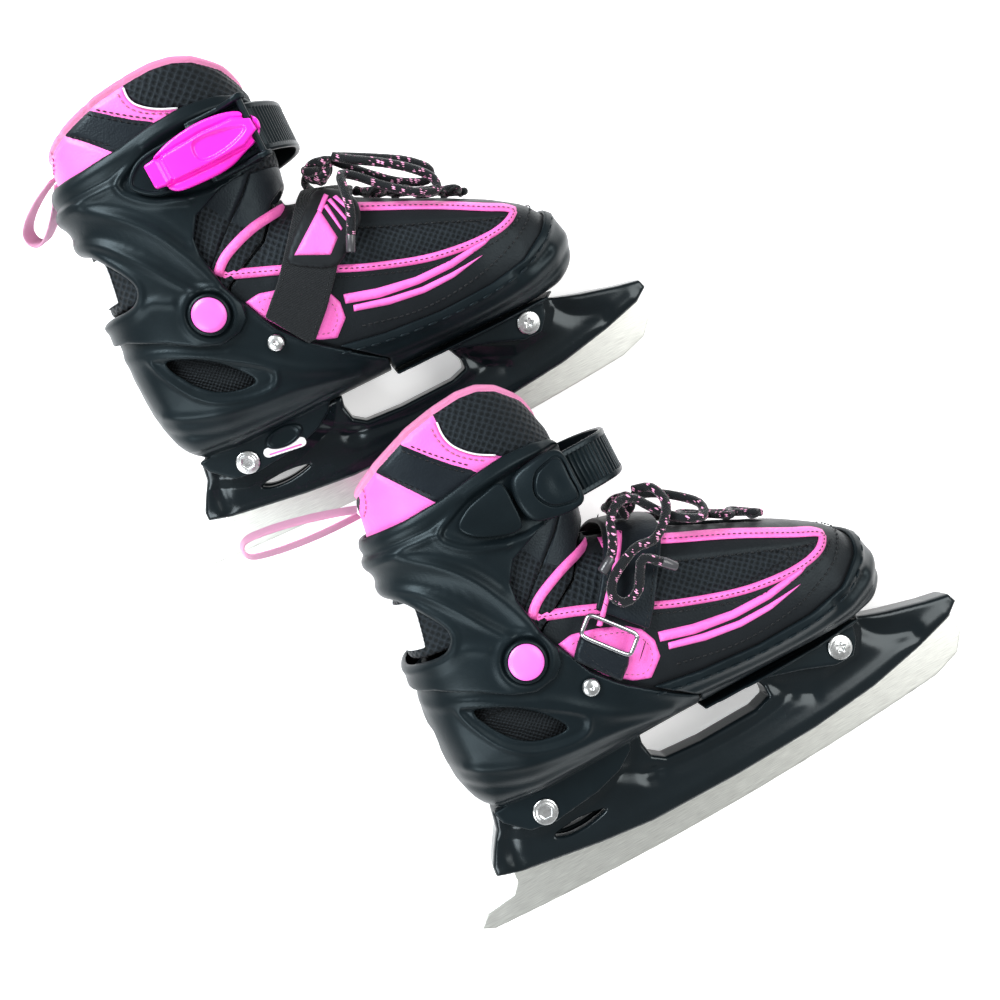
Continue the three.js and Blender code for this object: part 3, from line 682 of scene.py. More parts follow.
def make_lace(name, space="skate"):
    """Black braid with short pink flecks that wind round it."""
    f = Finish(name, (0.012, 0.01, 0.014), 0.68, space=space, Sheen_Weight=0.3, Sheen_Roughness=0.4)
    flecks = f.cells(260, f.stretched((1.5, 0.8, 1.7), (0.4, 0.3, 0.7)))
    braid = f.cells(1300, None, 0.4)
    stripes = f.wave(420, "DIAGONAL", None, 2.0)
    flecks = f.math("ADD", flecks, f.math("MULTIPLY", stripes, 0.25))
    f.paint(f.ramp(flecks, 0.33, 0.37, (0.85, 0.36, 0.58), (0.006, 0.006, 0.007)))
    f.relief(braid, 0.0005, 0.9)
    return f.material


def make_all_finishes():
    black = (0.004, 0.0068, 0.0085)
    return {
        "steel": make_steel("ground_steel"),
        "zinc": make_zinc("zinc_plate"),
        "wire": make_zinc("plated_wire", (0.5, 0.52, 0.55), 0.18),
        "holder": make_plastic("gloss_black_plastic", (0.004, 0.0065, 0.008), 0.2, 0.06, 0.00003, 0.25),
        "shell": make_plastic("satin_black_plastic", black, 0.36, 0.07),
        "buckle": make_plastic("black_buckle_plastic", black, 0.33, 0.07),
        "strap": make_plastic("black_strap_plastic", black, 0.3, 0.07),
        "cap": make_plastic("pink_cap_plastic", (0.88, 0.14, 0.58), 0.36, 0.05),
        "magenta": make_plastic("magenta_plastic", (0.88, 0.018, 0.5), 0.3, 0.05),
        "navy": make_leather("smooth_dark_leather", (0.0055, 0.0075, 0.0105), 0.4),
        "leather": make_leather("black_leather", (0.0055, 0.0066, 0.008), 0.44),
        "pink": make_leather("pink_leather", (0.84, 0.13, 0.5), 0.46),
        "piping": make_leather("pink_piping", (0.86, 0.13, 0.47), 0.48, 0.0002),
        "binding": make_webbing("pale_pink_binding", (0.9, 0.26, 0.52), 700.0),
        "webbing": make_webbing("pale_pink_webbing", (0.95, 0.42, 0.66), 1100.0, "X", 0.85),
        "woven": make_webbing("woven_black_strap", (0.009, 0.0095, 0.011), 620.0, "DIAGONAL", 0.3),
        "mesh": make_air_mesh("black_air_mesh"),
        "lining": make_air_mesh("black_lining", 0.0017, (0.007, 0.0075, 0.009)),
        "thread": make_webbing("black_thread", (0.016, 0.017, 0.019), 2500.0),
        "pink_thread": make_webbing("pink_thread", (0.86, 0.26, 0.5), 2500.0),
        "rubber": make_leather("black_rubber", (0.007, 0.007, 0.008), 0.5, 0.00005),
        "label": make_plastic("white_label", (0.75, 0.78, 0.8), 0.35, 0.05),
        "lace": make_lace("flecked_lace"),
        "lace_curve": make_lace("flecked_lace_cord", "Object"),
        "aglet": make_plastic("clear_aglet", (0.05, 0.05, 0.055), 0.25),
    }


FINISH = make_all_finishes()


# ---------------------------------------------------------------- placing pieces
def placements():
    """Each side's map from skate-local millimetres to the row frame, from the frame's own joints."""
    joints = {joint["name"]: joint for joint in frame["joints"]}
    out = {}
    for side in SIDES:
        flex = joints[side + "_cuff_flex"]
        forward = Vector(joints[side + "_toe_slide"]["axis"])
        outward = -Vector(flex["axis"])
        upward = outward.cross(forward)
        mirror = 1 if side == "right" else -1
        axes = np.array([forward, upward, outward * mirror]).T
        out[side] = (axes, np.array(flex["pos_m"]))
    return out


PLACE = placements()


def to_row(points, side):
    axes, origin = PLACE[side]
    return (np.asarray(points, float) / 1000) @ axes.T + origin


def weave_place(verts, wrap):
    """Coordinates that run round the leg or the foot, so that a weave isn't stretched."""
    x, y, z = verts.T
    if wrap == "leg":
        return np.stack([np.arctan2(z, x - 6) * 44, y, 0 * x], 1)
    if wrap == "foot":
        return np.stack([x, np.arctan2(y + 18, z) * 40, 0 * x], 1)
    return verts


def add(name, shape, finish, body, replaces=(), sides=SIDES, sharp=None, wrap=None):
    """Places a shape on both skates. finish is one name, or several when faces are numbered."""
    made = []
    for side in sides:
        mesh = bpy.data.meshes.new(f"{side}_{name}")
        flip = side == "left"
        faces = [f[::-1] for f in shape.faces] if flip else shape.faces
        mesh.from_pydata(to_row(shape.verts, side).tolist(), [], faces)
        finishes = [finish] if isinstance(finish, str) else finish
        for item in finishes:
            mesh.materials.append(FINISH[item])
        if shape.finishes is not None:
            mesh.polygons.foreach_set("material_index", np.asarray(shape.finishes, np.int32))
        rest = mesh.attributes.new("skate", "FLOAT_VECTOR", "POINT")
        rest.data.foreach_set("vector", (shape.verts / 1000).astype(np.float32).ravel())
        weave = mesh.attributes.new("weave", "FLOAT_VECTOR", "POINT")
        laid = weave_place(shape.verts, wrap) / 1000
        weave.data.foreach_set("vector", laid.astype(np.float32).ravel())
        mesh.shade_smooth()
        if sharp:
            mesh.set_sharp_from_angle(angle=math.radians(sharp))
        if shape.normals is not None:
            mesh.normals_split_custom_set_from_vertices((shape.normals @ PLACE[side][0].T).tolist())
        piece = bpy.data.objects.new(f"{side}_{name}_look", mesh)
        bpy.context.scene.collection.objects.link(piece)
        if body:
            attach(piece, f"{side}_{body}")
        if replaces:
            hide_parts(*[f"{side}_{node}" for node in replaces])
        made.append(piece)
    return made


# ---------------------------------------------------------------- camera
def make_camera():
    data = bpy.data.cameras.new("photo_camera")
    data.lens = 29.4
    data.sensor_width = 36
    data.shift_x = 0.0534
    data.shift_y = -0.0425
    camera = bpy.data.objects.new("photo_camera", data)
    bpy.context.scene.collection.objects.link(camera)
    right = Vector((0.88719, -0.46135, 0.00725)).normalized()
    up = Vector((0.45585, 0.87881, 0.14104)).normalized()
    back = right.cross(up)
    turn = Matrix((right, up, back)).transposed().to_4x4()
    eye = Vector(PLACE["right"][1]) + Vector((0.03918, -0.1711, 0.40539))
    camera.matrix_world = Matrix.Translation(eye) @ turn
    bpy.context.scene.camera = camera


make_camera()


# ---------------------------------------------------------------- laces
LACE_ROUTES = {
    "right": (
        [
            [85.5, 41, 20], [92, 36, 24], [104, 29, 25], [116, 21, 24], [125, 12, 22],
            [124, 6, 26], [113, 9.5, 30], [100, 19, 29.5], [90, 28, 30], [84, 31, 33],
            [82, 24, 39], [80, 14, 43.4], [76, 6, 44.4], [72, -2, 45],
        ],
        [
            [85.5, 42, 12], [94, 38, 12], [106, 32, 12], [119, 25, 10], [128, 17, 6],
            [126, 13, -2], [114, 18, -5], [102, 27, -4], [90, 37, 2], [84, 42, 4],
            [77, 43.6, 2], [70, 40, -8], [69, 37, -18], [74, 30, -27], [80, 22, -33],
        ],
    ),
    "left": (
        [
            [83, 42, -22], [90, 40, -27], [91, 32, -34], [84, 25, -39.6], [76, 21, -42.4],
            [67, 22, -44], [58, 19, -45.2], [50, 14, -45.6], [47, 8, -45.6], [51, 3, -46],
            [58, 5, -46], [63, 12, -45.6], [66, 17, -47.6], [72, 13, -47.4], [78, 7, -46.4],
        ],
        [
            [84.4, 38, -12], [93, 35, -12], [102, 29, -18], [108, 22, -26], [104, 18, -33],
            [96, 21, -35], [89, 27, -30.5], [84, 34, -28], [79, 40, -30], [72, 41.6, -32],
            [64, 37, -36], [60, 30, -40.6], [55, 24, -44.6], [48, 20, -46],
        ],
    ),
}
KNOTS = {"right": (76, 38.5, 16), "left": (75, 37.5, -18)}
LACE_RADIUS = 2.2


def make_free_laces():
    for side in SIDES:
        for route, node in zip(LACE_ROUTES[side], ("first", "second")):
            line = resampled(curve(route, closed=False), 3)
            row = to_row(line, side)
            data = bpy.data.curves.new(f"{side}_lace_{node}", "CURVE")
            data.dimensions = "3D"
            data.bevel_depth = LACE_RADIUS / 1000
            data.bevel_resolution = 3
            data.use_fill_caps = True
            spline = data.splines.new("POLY")
            spline.points.add(len(row) - 1)
            spline.points.foreach_set("co", np.column_stack([row, np.ones(len(row))]).ravel())
            spline.use_smooth = True
            data.materials.append(FINISH["lace_curve"])
            piece = bpy.data.objects.new(f"{side}_lace_{node}_look", data)
            bpy.context.scene.collection.objects.link(piece)
            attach(piece, side + "_toe")
            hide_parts(f"{side}_lace_{node}")
            tip = line[-1] - line[-2]
            tip /= np.linalg.norm(tip)
            sleeve = line[-1] + np.outer([-7, -6.5, 0, 0.6], tip)
            aglet = add(
                f"aglet_{node}",
                tube(sleeve, [2.25, 2.35, 2.3, 1.9], 14),
                "aglet",
                "toe",
                sides=(side,),
                sharp=40,
            )


def knot_path(center, turns=2):
    """A knotted bundle of lace: a trefoil wound a little flat."""
    t = np.linspace(0, 2 * math.pi, 60, endpoint=False)
    x = 5.4 * (np.sin(t) + 1.1 * np.sin(turns * t)) / 1.7
    y = 3.2 * (np.cos(t) - 1.1 * np.cos(turns * t)) / 1.4
    z = -4.6 * np.sin(3 * t) / 1.2 + 3.0 * np.cos(t)
    return np.stack([x, y, z], 1) + np.array(center)


def make_lace_rows_and_knots():
    def row(sign):
        path = []
        for i, x in enumerate((140, 134, 122, 110, 98, 90)):
            reach = 13.5 if 0 < i < 5 else 6
            z = sign * reach * (-1) ** i
            path.append([x, 34.6 - (x - 64) * 0.452 + (0.6 if i % 2 else -0.4), z])
        return tube(resampled(curve(path, closed=False), 1.2), 2.0, 10)

    tabs = []
    for x in (134, 122, 110, 98):
        for z in (-12.5, 12.5):
            y = 34.2 - (x - 64) * 0.452
            t = np.linspace(0, 2 * math.pi, 20, endpoint=False)
            ring = np.stack([x + 2.9 * np.cos(t), y + 1.0 * np.sin(t), z + 2.9 * np.sin(t)], 1)
            tabs.append(tube(ring, 0.7, 8, closed=True))
    add("lace_rows", joined(row(1), row(-1)), "lace", "toe", ["lace_rows"])
    add("lace_eyelets", joined(*tabs), "thread", "toe")
    for side in SIDES:
        center = KNOTS[side]
        wraps = [tube(knot_path(center), 2.1, 10, closed=True)]
        t = np.linspace(0, 2 * math.pi, 40, endpoint=False)
        for radius, tilt in ((5.6, 0.5), (4.4, -0.7)):
            ring = np.stack([radius * np.cos(t), 3.6 * np.sin(t), tilt * 6 * np.sin(t)], 1)
            wraps.append(tube(ring + np.array(center), 2.1, 10, closed=True))
        add("lace_knot", joined(*wraps), "lace", "toe", ["lace_knot"], sides=(side,))


# ---------------------------------------------------------------- blade and holder
ROCKER = 1650.0
REAR_BOLT = (-22.7, -74.4)
FRONT_BOLT = (141.2, -74.4)


def blade_outline():
    lowest = -123.0
    bottom = [(x, lowest + (x - 50) ** 2 / (2 * ROCKER)) for x in np.arange(-70, 191, 8.0)]
    return [(-76.5, -115.5), *bottom, (201, -112.5), (207.5, -104), (206.5, -91.5), (185, -93),
            (150, -99), (100, -103), (40, -103.5), (-5, -100.5), (-50, -93.5), (-51, -104),
            (-55, -108.5), (-70, -110)]


def make_blade():
    g = Grid((-79, -125, -2.4), (210, -89, 2.4), 0.6)
    field = smooth_max(outline(blade_outline(), g.x, g.y), np.abs(g.z) - 1.4, 0.5)
    add("blade", level_mesh(field, g), "steel", "boot", ["blade"])


HOLDER = [
    (-58, -95), (-46, -98.6), (-5, -105.4), (22, -108.6), (70, -109.4), (115, -108.2),
    (152, -104.6), (182, -98.5), (203, -92.5), (210.5, -87), (208.5, -82), (196, -79.6),
    (176, -74.5), (163, -70.5), (157, -68.2), (97, -68.2), (101.8, -78), (101.5, -83),
    (93, -85.6), (62, -86), (42, -84.5), (36, -80), (34.6, -72.5), (36, -66.4),
    (-46, -66.4), (-48, -75), (-54, -84), (-57.5, -90),
]


def make_holder():
    g = Grid((-61, -112, -11), (213.5, -64, 11))
    rear = g.view([(-46, -66), (-46, -78), (-30, -85), (0, -84), (22, -77), (30, -66)])
    front = g.view([(103, -66), (108, -76), (130, -86), (150, -84), (157, -74), (155, -66)])
    tower = smooth_min(rear, front, 4)
    half = 6.5 + 2.1 * np.clip(0.5 - tower / 6, 0, 1)
    relief = g.ridges(
        ([(-50, -93), (-5, -100), (40, -103.4), (100, -103), (150, -99), (200, -89)], 4.5, 1.0),
        ([(30, -88), (60, -91.5), (95, -91), (112, -88)], 3.5, -1.2),
        ([(8, -70), (20, -80), (34, -88)], 4.5, -1.8),
        ([(-38, -70), (-44, -82), (-46, -92)], 4, -1.5),
        ([(158, -72), (166, -82), (182, -90)], 4.5, -1.7),
        ([(104, -76), (112, -86), (122, -92)], 3.5, -1.4),
    )
    slit = g.view(curve([(-24, -91), (-8, -89.5), (4, -92), (-8, -94.5), (-20, -93.5)]))
    blade_slot = smooth_max(np.abs(g.z) - 1.7, g.y + 91.5, 0.4)
    field = smooth_max(g.view(HOLDER), np.abs(g.z) - half - relief, 2.6)
    field = smooth_max(field, -slit, 1.5)
    field = smooth_max(field, -blade_slot, 0.5)
    add("blade_holder", level_mesh(field, g), "holder", "boot", ["blade_holder"])


def make_bolts():
    """Bolt heads on both sides: a hexagon socket at the rear and a star recess in front."""
    washer = 14.9  # the underside of the head, from the middle plane
    for name, (x, y), points in (("rear_bolt", REAR_BOLT, 6), ("front_bolt", FRONT_BOLT, 5)):
        g = Grid((x - 7.5, y - 7.5, 14), (x + 7.5, y + 7.5, 17.6), 0.3)
        r, turn = np.hypot(g.x - x, g.y - y), np.arctan2(g.y - y, g.x - x)
        head = smooth_max(r - 6.2, smooth_max(washer - g.z, g.z - 16.5 + 0.022 * r**2, 0.4), 0.6)
        if points == 6:
            socket = r * np.cos((turn % (math.pi / 3)) - math.pi / 6) - 3.0
        else:
            socket = r - (1.9 + 0.5 * np.cos(points * turn))
        rim = np.abs(r - 4.7) - 0.25
        field = smooth_max(head, -np.maximum(socket, washer + 0.35 - g.z), 0.25)
        field = smooth_max(field, -np.maximum(rim, washer + 1 - g.z), 0.25)
        outer = level_mesh(field, g)
        inner = Shape(outer.verts * (1, 1, -1), [f[::-1] for f in outer.faces])
        barrel = turned([(0, -14.8), (3, -14.8), (3, 14.8), (0, 14.8)], x, y, 0, 20)
        add(name, joined(outer, inner, barrel), "zinc", "boot", [name], sharp=30)


# ---------------------------------------------------------------- boot shells
HEEL_SHELL = [
    (-70, 11), (-42, 9.5), (-25, 1), (-14, -6), (-13, 1), (-9, 9), (0, 12.5), (9, 9.5), (14, 2),
    (17, -3), (24.2, -19), (34, -30.5), (45, -39.8), (56, -49), (66, -56.5), (66, -80), (-70, -80),
]
SIDE_VENT = [(-30.4, -11.4), (-18, -15), (-4, -26), (3, -37), (-8, -36.5), (-18, -31.5), (-26, -22)]
VENT_RIM = [
    (-36.7, -6.7), (-20.5, -11.8), (-3.3, -22.1), (14, -36), (10, -43.5), (-13.3, -40.1),
    (-27.2, -29.6),
]
REAR_LUG = [(-46, -60), (-43, -70), (-33, -79.5), (-20, -81.6), (4, -79), (18, -75), (27, -69), (31, -60)]
FRONT_LUG = [(92, -64), (98, -69.5), (120, -76), (136, -82), (146, -82), (151, -76), (154, -64)]


def lug(side_view, g):
    """The two side plates under the sole that the blade holder is bolted between."""
    plates = smooth_max(outline(side_view, g.x, g.y), np.abs(np.abs(g.z) - 11.8) - 2.8, 1.2)
    return smooth_max(plates, g.y + 63.6, 0.5)


def make_heel_shell():
    g = Grid((-56, -84, -43), (69, 15, 43))
    boot = boot_field(g)
    relief = g.ridges(
        ([(-50, -2), (-30, -7), (-14, -13), (4, -24), (24, -41), (50, -55)], 3.2, 0.9),
        ([(-46, -34), (-26, -42), (-4, -47), (20, -50), (50, -58)], 2.4, 0.8),
        ([(-48, -44), (-26, -52), (0, -55), (30, -59)], 2.6, -0.7),
        ([(18, -6), (25.5, -20.5), (36, -32.5), (47, -42.5), (62, -54)], 2.2, 0.5),
    )
    scoop = g.view(curve(VENT_RIM))
    relief = relief + 0.7 * np.exp(-((scoop / 1.6) ** 2)) - 1.3 * np.clip(-scoop / 4, 0, 1)
    relief = relief + g.ridges(([(-44, -58), (-10, -60.5), (40, -61)], 0.9, -0.5))
    fade = np.clip((g.view(CUFF) - 1) / 3, 0, 1)
    outer = boot - np.clip(relief * fade, -0.9, 0.9)
    shell = smooth_max(outer, -(boot + SHELL_WALL), 0.8)
    shell = smooth_max(shell, g.view(HEEL_SHELL), 1.0)
    back = outline(curve([(-12, -16), (12, -16), (9, -26), (0, -31), (-9, -26)]), g.z, g.y)
    shell = smooth_max(shell, -g.view(curve(SIDE_VENT)), 1.2)
    shell = smooth_max(shell, -np.maximum(back, g.x + 30), 1.2)
    field = smooth_min(shell, lug(REAR_LUG, g), 2.0)
    add("heel_shell", level_mesh(field, g), "shell", "boot", ["heel_shell"])


def make_sole_plate():
    g = Grid((64, -84, -23), (166, -63, 23))
    half = [(67, -19), (100, -21), (130, -20), (156, -15), (163, 0)]
    plan = half + [(x, -z) for x, z in half[-2::-1]]
    plate = smooth_max(outline(plan, g.x, g.z), np.abs(g.y + 67.1) - 0.7, 0.4)
    field = smooth_min(plate, np.maximum(lug(FRONT_LUG, g), g.y + 66.4), 1.5)
    add("sole_plate", level_mesh(field, g), "shell", "boot", ["sole_plate"])


TOE_SHELL = [
    (46.6, -39.6), (70, -44), (100, -46.5), (128, -45.5), (148, -42), (163, -34), (172, -26),
    (190, -20), (190, -80), (67, -80), (67, -57), (57, -48.2),
]


def make_toe_shell():
    g = Grid((44, -70, -42), (184, -15, 42))
    foot = foot_field(g)
    welt = [(46, -43.5), (70, -48), (100, -50.5), (128, -49.5), (149, -45.5), (165, -37), (178, -27)]
    relief = g.ridges(
        (welt, 2.3, 0.8),
        ([(60, -53), (100, -56.5), (130, -56), (152, -52), (178, -42)], 2.6, 0.7),
        ([(62, -57), (100, -60.5), (130, -60), (155, -57), (178, -48)], 1.8, -0.7),
        ([(142, -47), (152, -45.5), (162, -43)], 2.6, -1.2),
    )
    outer = foot - np.clip(relief, -0.9, 0.9)
    field = smooth_max(outer, -(foot + SHELL_WALL), 0.8)
    field = smooth_max(field, g.view(TOE_SHELL), 1.0)
    add("toe_shell", level_mesh(field, g), "shell", "toe", ["toe_shell"])
    dashes = both(lambda side: stitches(welt, 0.95, foot_height, side, pitch=7.5, length=5.2, radius=0.6))
    add("toe_dashes", dashes, "buckle", "toe")


# ---------------------------------------------------------------- soft boot
def crisp(shape, borders, step, rim=None, band=0.0):
    """Moves the vertices between two finishes onto the border lines, so that panels have clean edges.

    With a rim, the line that runs a band's width inside it is a border too."""
    faces = np.array(shape.faces)
    zone = np.asarray(shape.finishes)
    low = np.full(len(shape.verts), 99)
    high = np.full(len(shape.verts), -1)
    for corner in faces.T:
        np.minimum.at(low, corner, zone)
        np.maximum.at(high, corner, zone)
    at = np.flatnonzero(low != high)
    p = shape.verts[at]
    best = np.full(len(at), 1e9)
    move = np.zeros((len(at), 3))
    lines = [(border, 0.0) for border in borders]
    if rim is not None:
        lines.append((rim, band))
    for border, inset in lines:
        here = outline(border, p[:, 0], p[:, 1]) + inset
        slope_x = (outline(border, p[:, 0] + 0.05, p[:, 1]) + inset - here) / 0.05
        slope_y = (outline(border, p[:, 0], p[:, 1] + 0.05) + inset - here) / 0.05
        closer = np.abs(here) < best
        best[closer] = np.abs(here)[closer]
        shift = -here[:, None] * np.stack([slope_x, slope_y, 0 * here], 1)
        move[closer] = shift[closer]
    move[best > 1.1 * step] = 0
    n = shape.normals[at]
    move -= (move * n).sum(1, keepdims=True) * n
    shape.verts[at] += move
    return shape


UPPER = [(9, -80), (9, 2), (14.4, 7.6), (37.8, 19), (50, 33), (64, 39), (195, 39), (195, -80)]
THROAT = [(52, 60), (52, 12), (100, -2), (136, -8), (136, 60)]
UPPER_SEAM = [(66, 13), (86, 4), (117, -8), (140, -17), (151, -20)]
MESH_PANEL = [
    (11, 14), (27, 23), (46, 27.5), (60, 22), (66, 13), (86, 4), (117, -8), (140, -17), (153, -20),
    (138, -24), (108, -21.5), (76, -12), (58.5, -5), (34, 5), (22, 9.5),
]


def panelled(shape, panel, step):
    """Numbers a shape's faces: 1 inside a panel's outline and 0 elsewhere."""
    first = shape.verts[np.array([f[0] for f in shape.faces])]
    shape.finishes = np.where(outline(panel, first[:, 0], first[:, 1]) < 0, 1, 0)
    crisp(shape, [panel], step)


def make_upper():
    g = Grid((6, -63, -40), (182, 40, 40))
    boot = boot_field(g)
    puff = 0.9 * np.clip(-g.view(MESH_PANEL) / 6, 0, 1)
    covered = 0.7 * np.clip(0.5 - g.view(HEEL_SHELL) / 3, 0, 1)
    outer = boot + 2.7 + covered - g.ridges((UPPER_SEAM, 1.2, -0.6)) - puff
    field = smooth_max(outer, -(boot + 5.0), 0.7)
    field = smooth_max(field, g.view(UPPER), 1.2)
    throat = smooth_max(g.view(THROAT), np.abs(g.z) - 11, 3)
    shape = level_mesh(smooth_max(field, -throat, 1.4), g)
    panelled(shape, np.array(MESH_PANEL, float), g.step)
    add("upper", shape, ["leather", "mesh"], "toe", ["upper"], wrap="foot")


def band(path, width, out, height, side):
    """A flat strip of trim that follows a path."""
    line = resampled(curve(path, closed=False), 1.5)
    across = left_of(line) * width / 2
    border = np.vstack([line + across, (line - across)[::-1]])
    return patch(border, out, 0.8, height, side, edge=1.0)


def make_upper_trim():
    lower = [(46, -2), (58.5, -5), (76, -12), (108, -21.5), (138, -24), (150, -21.8), (156, -18.6)]
    vee = [(11.6, 14.4), (22.3, 10.3), (34, 6), (48, 0.5), (60, -4.5)]
    facing = [(58, 27), (70, 22.4), (86, 15), (117, 1.5), (143, -11.5), (153, -16.4), (156.4, -19.6)]
    pipings = [
        ("lower_piping", lower, 3.6, -2.4, -1.43),
        ("v_piping", vee, 4.6, -2.1, -1.34),
        ("facing", facing, 4.4, -2.2, -1.37),
    ]
    for name, path, width, out, _ in pipings:
        strip = both(lambda side: band(path, width, out, boot_height, side))
        add("upper_" + name, strip, "piping", "toe")
    for index, (_, path, _, _, out) in enumerate(pipings):
        row = both(lambda side: stitches(path, out, boot_height, side, 2.6, 1.5, 0.26))
        add(f"upper_stitches_{index}", row, "thread", "toe")
    swooshes = [
        [(59, -23), (75, -27.5), (95, -30), (114, -30), (133, -27), (150, -21), (133, -24.5),
         (114, -26.5), (95, -26.2), (76, -23), (60, -18.5)],
        [(61, -28), (78, -32.6), (96, -35), (112, -34.6), (130, -31), (112, -32), (96, -31.9),
         (79, -29.3), (62, -25.2)],
    ]
    shapes = [both(lambda side: patch(np.array(s, float), -2.3, 0.8, side=side)) for s in swooshes]
    add("upper_swooshes", joined(*shapes), "pink", "toe")
    panel = [(17, -2), (24, -1), (36, -4), (48, -9), (54, -14), (57, -21), (56, -29), (48, -36),
             (40, -33), (30, -25), (21, -12)]
    side_panel = both(lambda side: patch(np.array(panel, float), -2.35, 0.8, side=side))
    add("upper_side_panel", side_panel, "pink", "toe")
    dash = [(22, -5), (36, -7.5), (47, -12), (53, -20), (52, -28), (46, -32), (32, -23)]
    row = both(lambda side: stitches(dash, -1.6, boot_height, side, 2.6, 1.5, 0.26, closed=True))
    add("upper_side_stitches", row, "pink_thread", "toe")
    seams = [
        [(61, -36), (90, -41.5), (120, -40), (150, -31), (168, -20)],
        UPPER_SEAM,
        [(58, -9), (76, -16), (107, -25.6), (139, -28), (158, -22.5)],
    ]
    rows = joined(*[both(lambda side: stitches(seam, -2.5, side=side)) for seam in seams])
    add("upper_dark_stitches", rows, "thread", "toe")


def make_tongue():
    g = Grid((50, -10, -21), (141, 40, 21))
    view = g.view([(54, 37), (54, 14), (100, 0), (138, -6), (138, 37)])
    field = smooth_max(layer(boot_field(g), 5.4, 2.4), view, 1.5)
    field = smooth_max(field, np.abs(g.z) - 18.6, 1.5)
    for piece in add("tongue", level_mesh(field, g), "mesh", "toe", ["tongue"], wrap="foot"):
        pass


def make_liner():
    g = Grid((-50, -62, -38), (176, 38, 38), FINE * 1.5)
    view = [(-70, 13), (6, 13), (14, 14), (38, 24), (50, 36), (195, 36), (195, -80), (-70, -80)]
    field = smooth_max(layer(boot_field(g), 6.4, 3.6), g.view(view), 1.5)
    gap = g.view([(50, 60), (50, 12), (100, -2), (142, -10), (142, 60)])
    shape = level_mesh(smooth_max(field, -smooth_max(gap, np.abs(g.z) - 19, 1), 1.5), g)
    for piece in add("liner_boot", shape, "lining", "boot", ["liner_boot"], wrap="foot"):
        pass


def add_bending(name, shape, finish, wrap=None):
    """Adds a soft piece between boot and cuff, across the front of the ankle, with its placement baked into
    its mesh and no body to follow.
    """
    for side, piece in zip(SIDES, add(name, shape, finish, None, wrap=wrap)):
        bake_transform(piece)


def make_ankle_gusset():
    """The soft panel between the upper and the collar, and the piping that crosses it."""
    g = Grid((4, 4, -40), (66, 52, 40), 0.8)
    ankle = smooth_min(leg_field(g), foot_field(g), 3)
    view = [(5, 5), (11, 6.2), (15, 8.6), (37.4, 20.4), (48.6, 34), (58, 40), (64, 42), (64, 49.6),
            (46.2, 49.6), (39.6, 42.8), (10, 18.6), (5, 18.6)]
    shape = level_mesh(smooth_max(layer(ankle, 1.4, 2.4), g.view(view), 0.8), g)
    navy = [(60, 60), (16, 60), (16, 50), (23.1, 42.1), (27.1, 34.4), (36.4, 26.3), (44, 22), (70, 22)]
    panelled(shape, np.array(navy, float), g.step)
    add_bending("ankle_gusset", shape, ["mesh", "navy"], "leg")
    arm = [(11.2, 14.4), (17.6, 19.8), (27.2, 24.1), (36.8, 27.0), (45.4, 28.5), (54, 30)]
    add_bending("upper_v_arm", both(lambda side: band(arm, 4.4, -0.9, leg_height, side)), "piping")


RIM_BASE = 84.0
COLLAR_RISE = {"right": 0.65, "left": 1.0}  # the right skate's padding has slumped
COLLAR = [
    (-60, 18), (10, 18.5), (40, 43), (46, 49), (80, 49), (80, 88), (64, 93), (58, 106), (47, 116),
    (38, 120), (28, 121), (14, 119.5), (0, 116.5), (-20, 109), (-36, 101), (-60, 97),
]
COLLAR_MESH = [
    (14.4, 122), (34.4, 128), (60, 122), (80, 100), (80, 80), (48, 74), (30.8, 86.7),
    (23, 91.2), (17.9, 95.9), (14.7, 100.7), (13.5, 106),
]
COLLAR_SMOOTH = [
    (-4.6, 125), (-4.6, 109.9), (3.8, 99.9), (11.1, 92.1), (17.7, 86.3), (30, 70), (2, 70),
    (-3.1, 80.2), (-12.5, 93), (-21.9, 106), (-24, 125),
]
COLLAR_TAB = [(-70, 112), (-36, 108), (-32.4, 102), (-33, 96.8), (-36.3, 91.6), (-39.1, 89.4), (-70, 86)]
COLLAR_NAVY = [(16, 50), (23.1, 42.1), (27.1, 34.4), (36.4, 26.3), (44, 22), (90, 22), (90, 49.6), (40, 49.6)]


BINDING_WIDTH = 3.6
BOUND_FROM = 82  # the edge is bound above this height
PLAIN_BELOW = 60  # the collar is plain mesh inside the cuff


def slumped(points, rise):
    """Points of the collar as they lie after its padding has sunk towards the cuff."""
    p = np.array(points, float)
    above = p[:, 1] > RIM_BASE
    p[above, 1] = RIM_BASE + (p[above, 1] - RIM_BASE) * rise
    return p


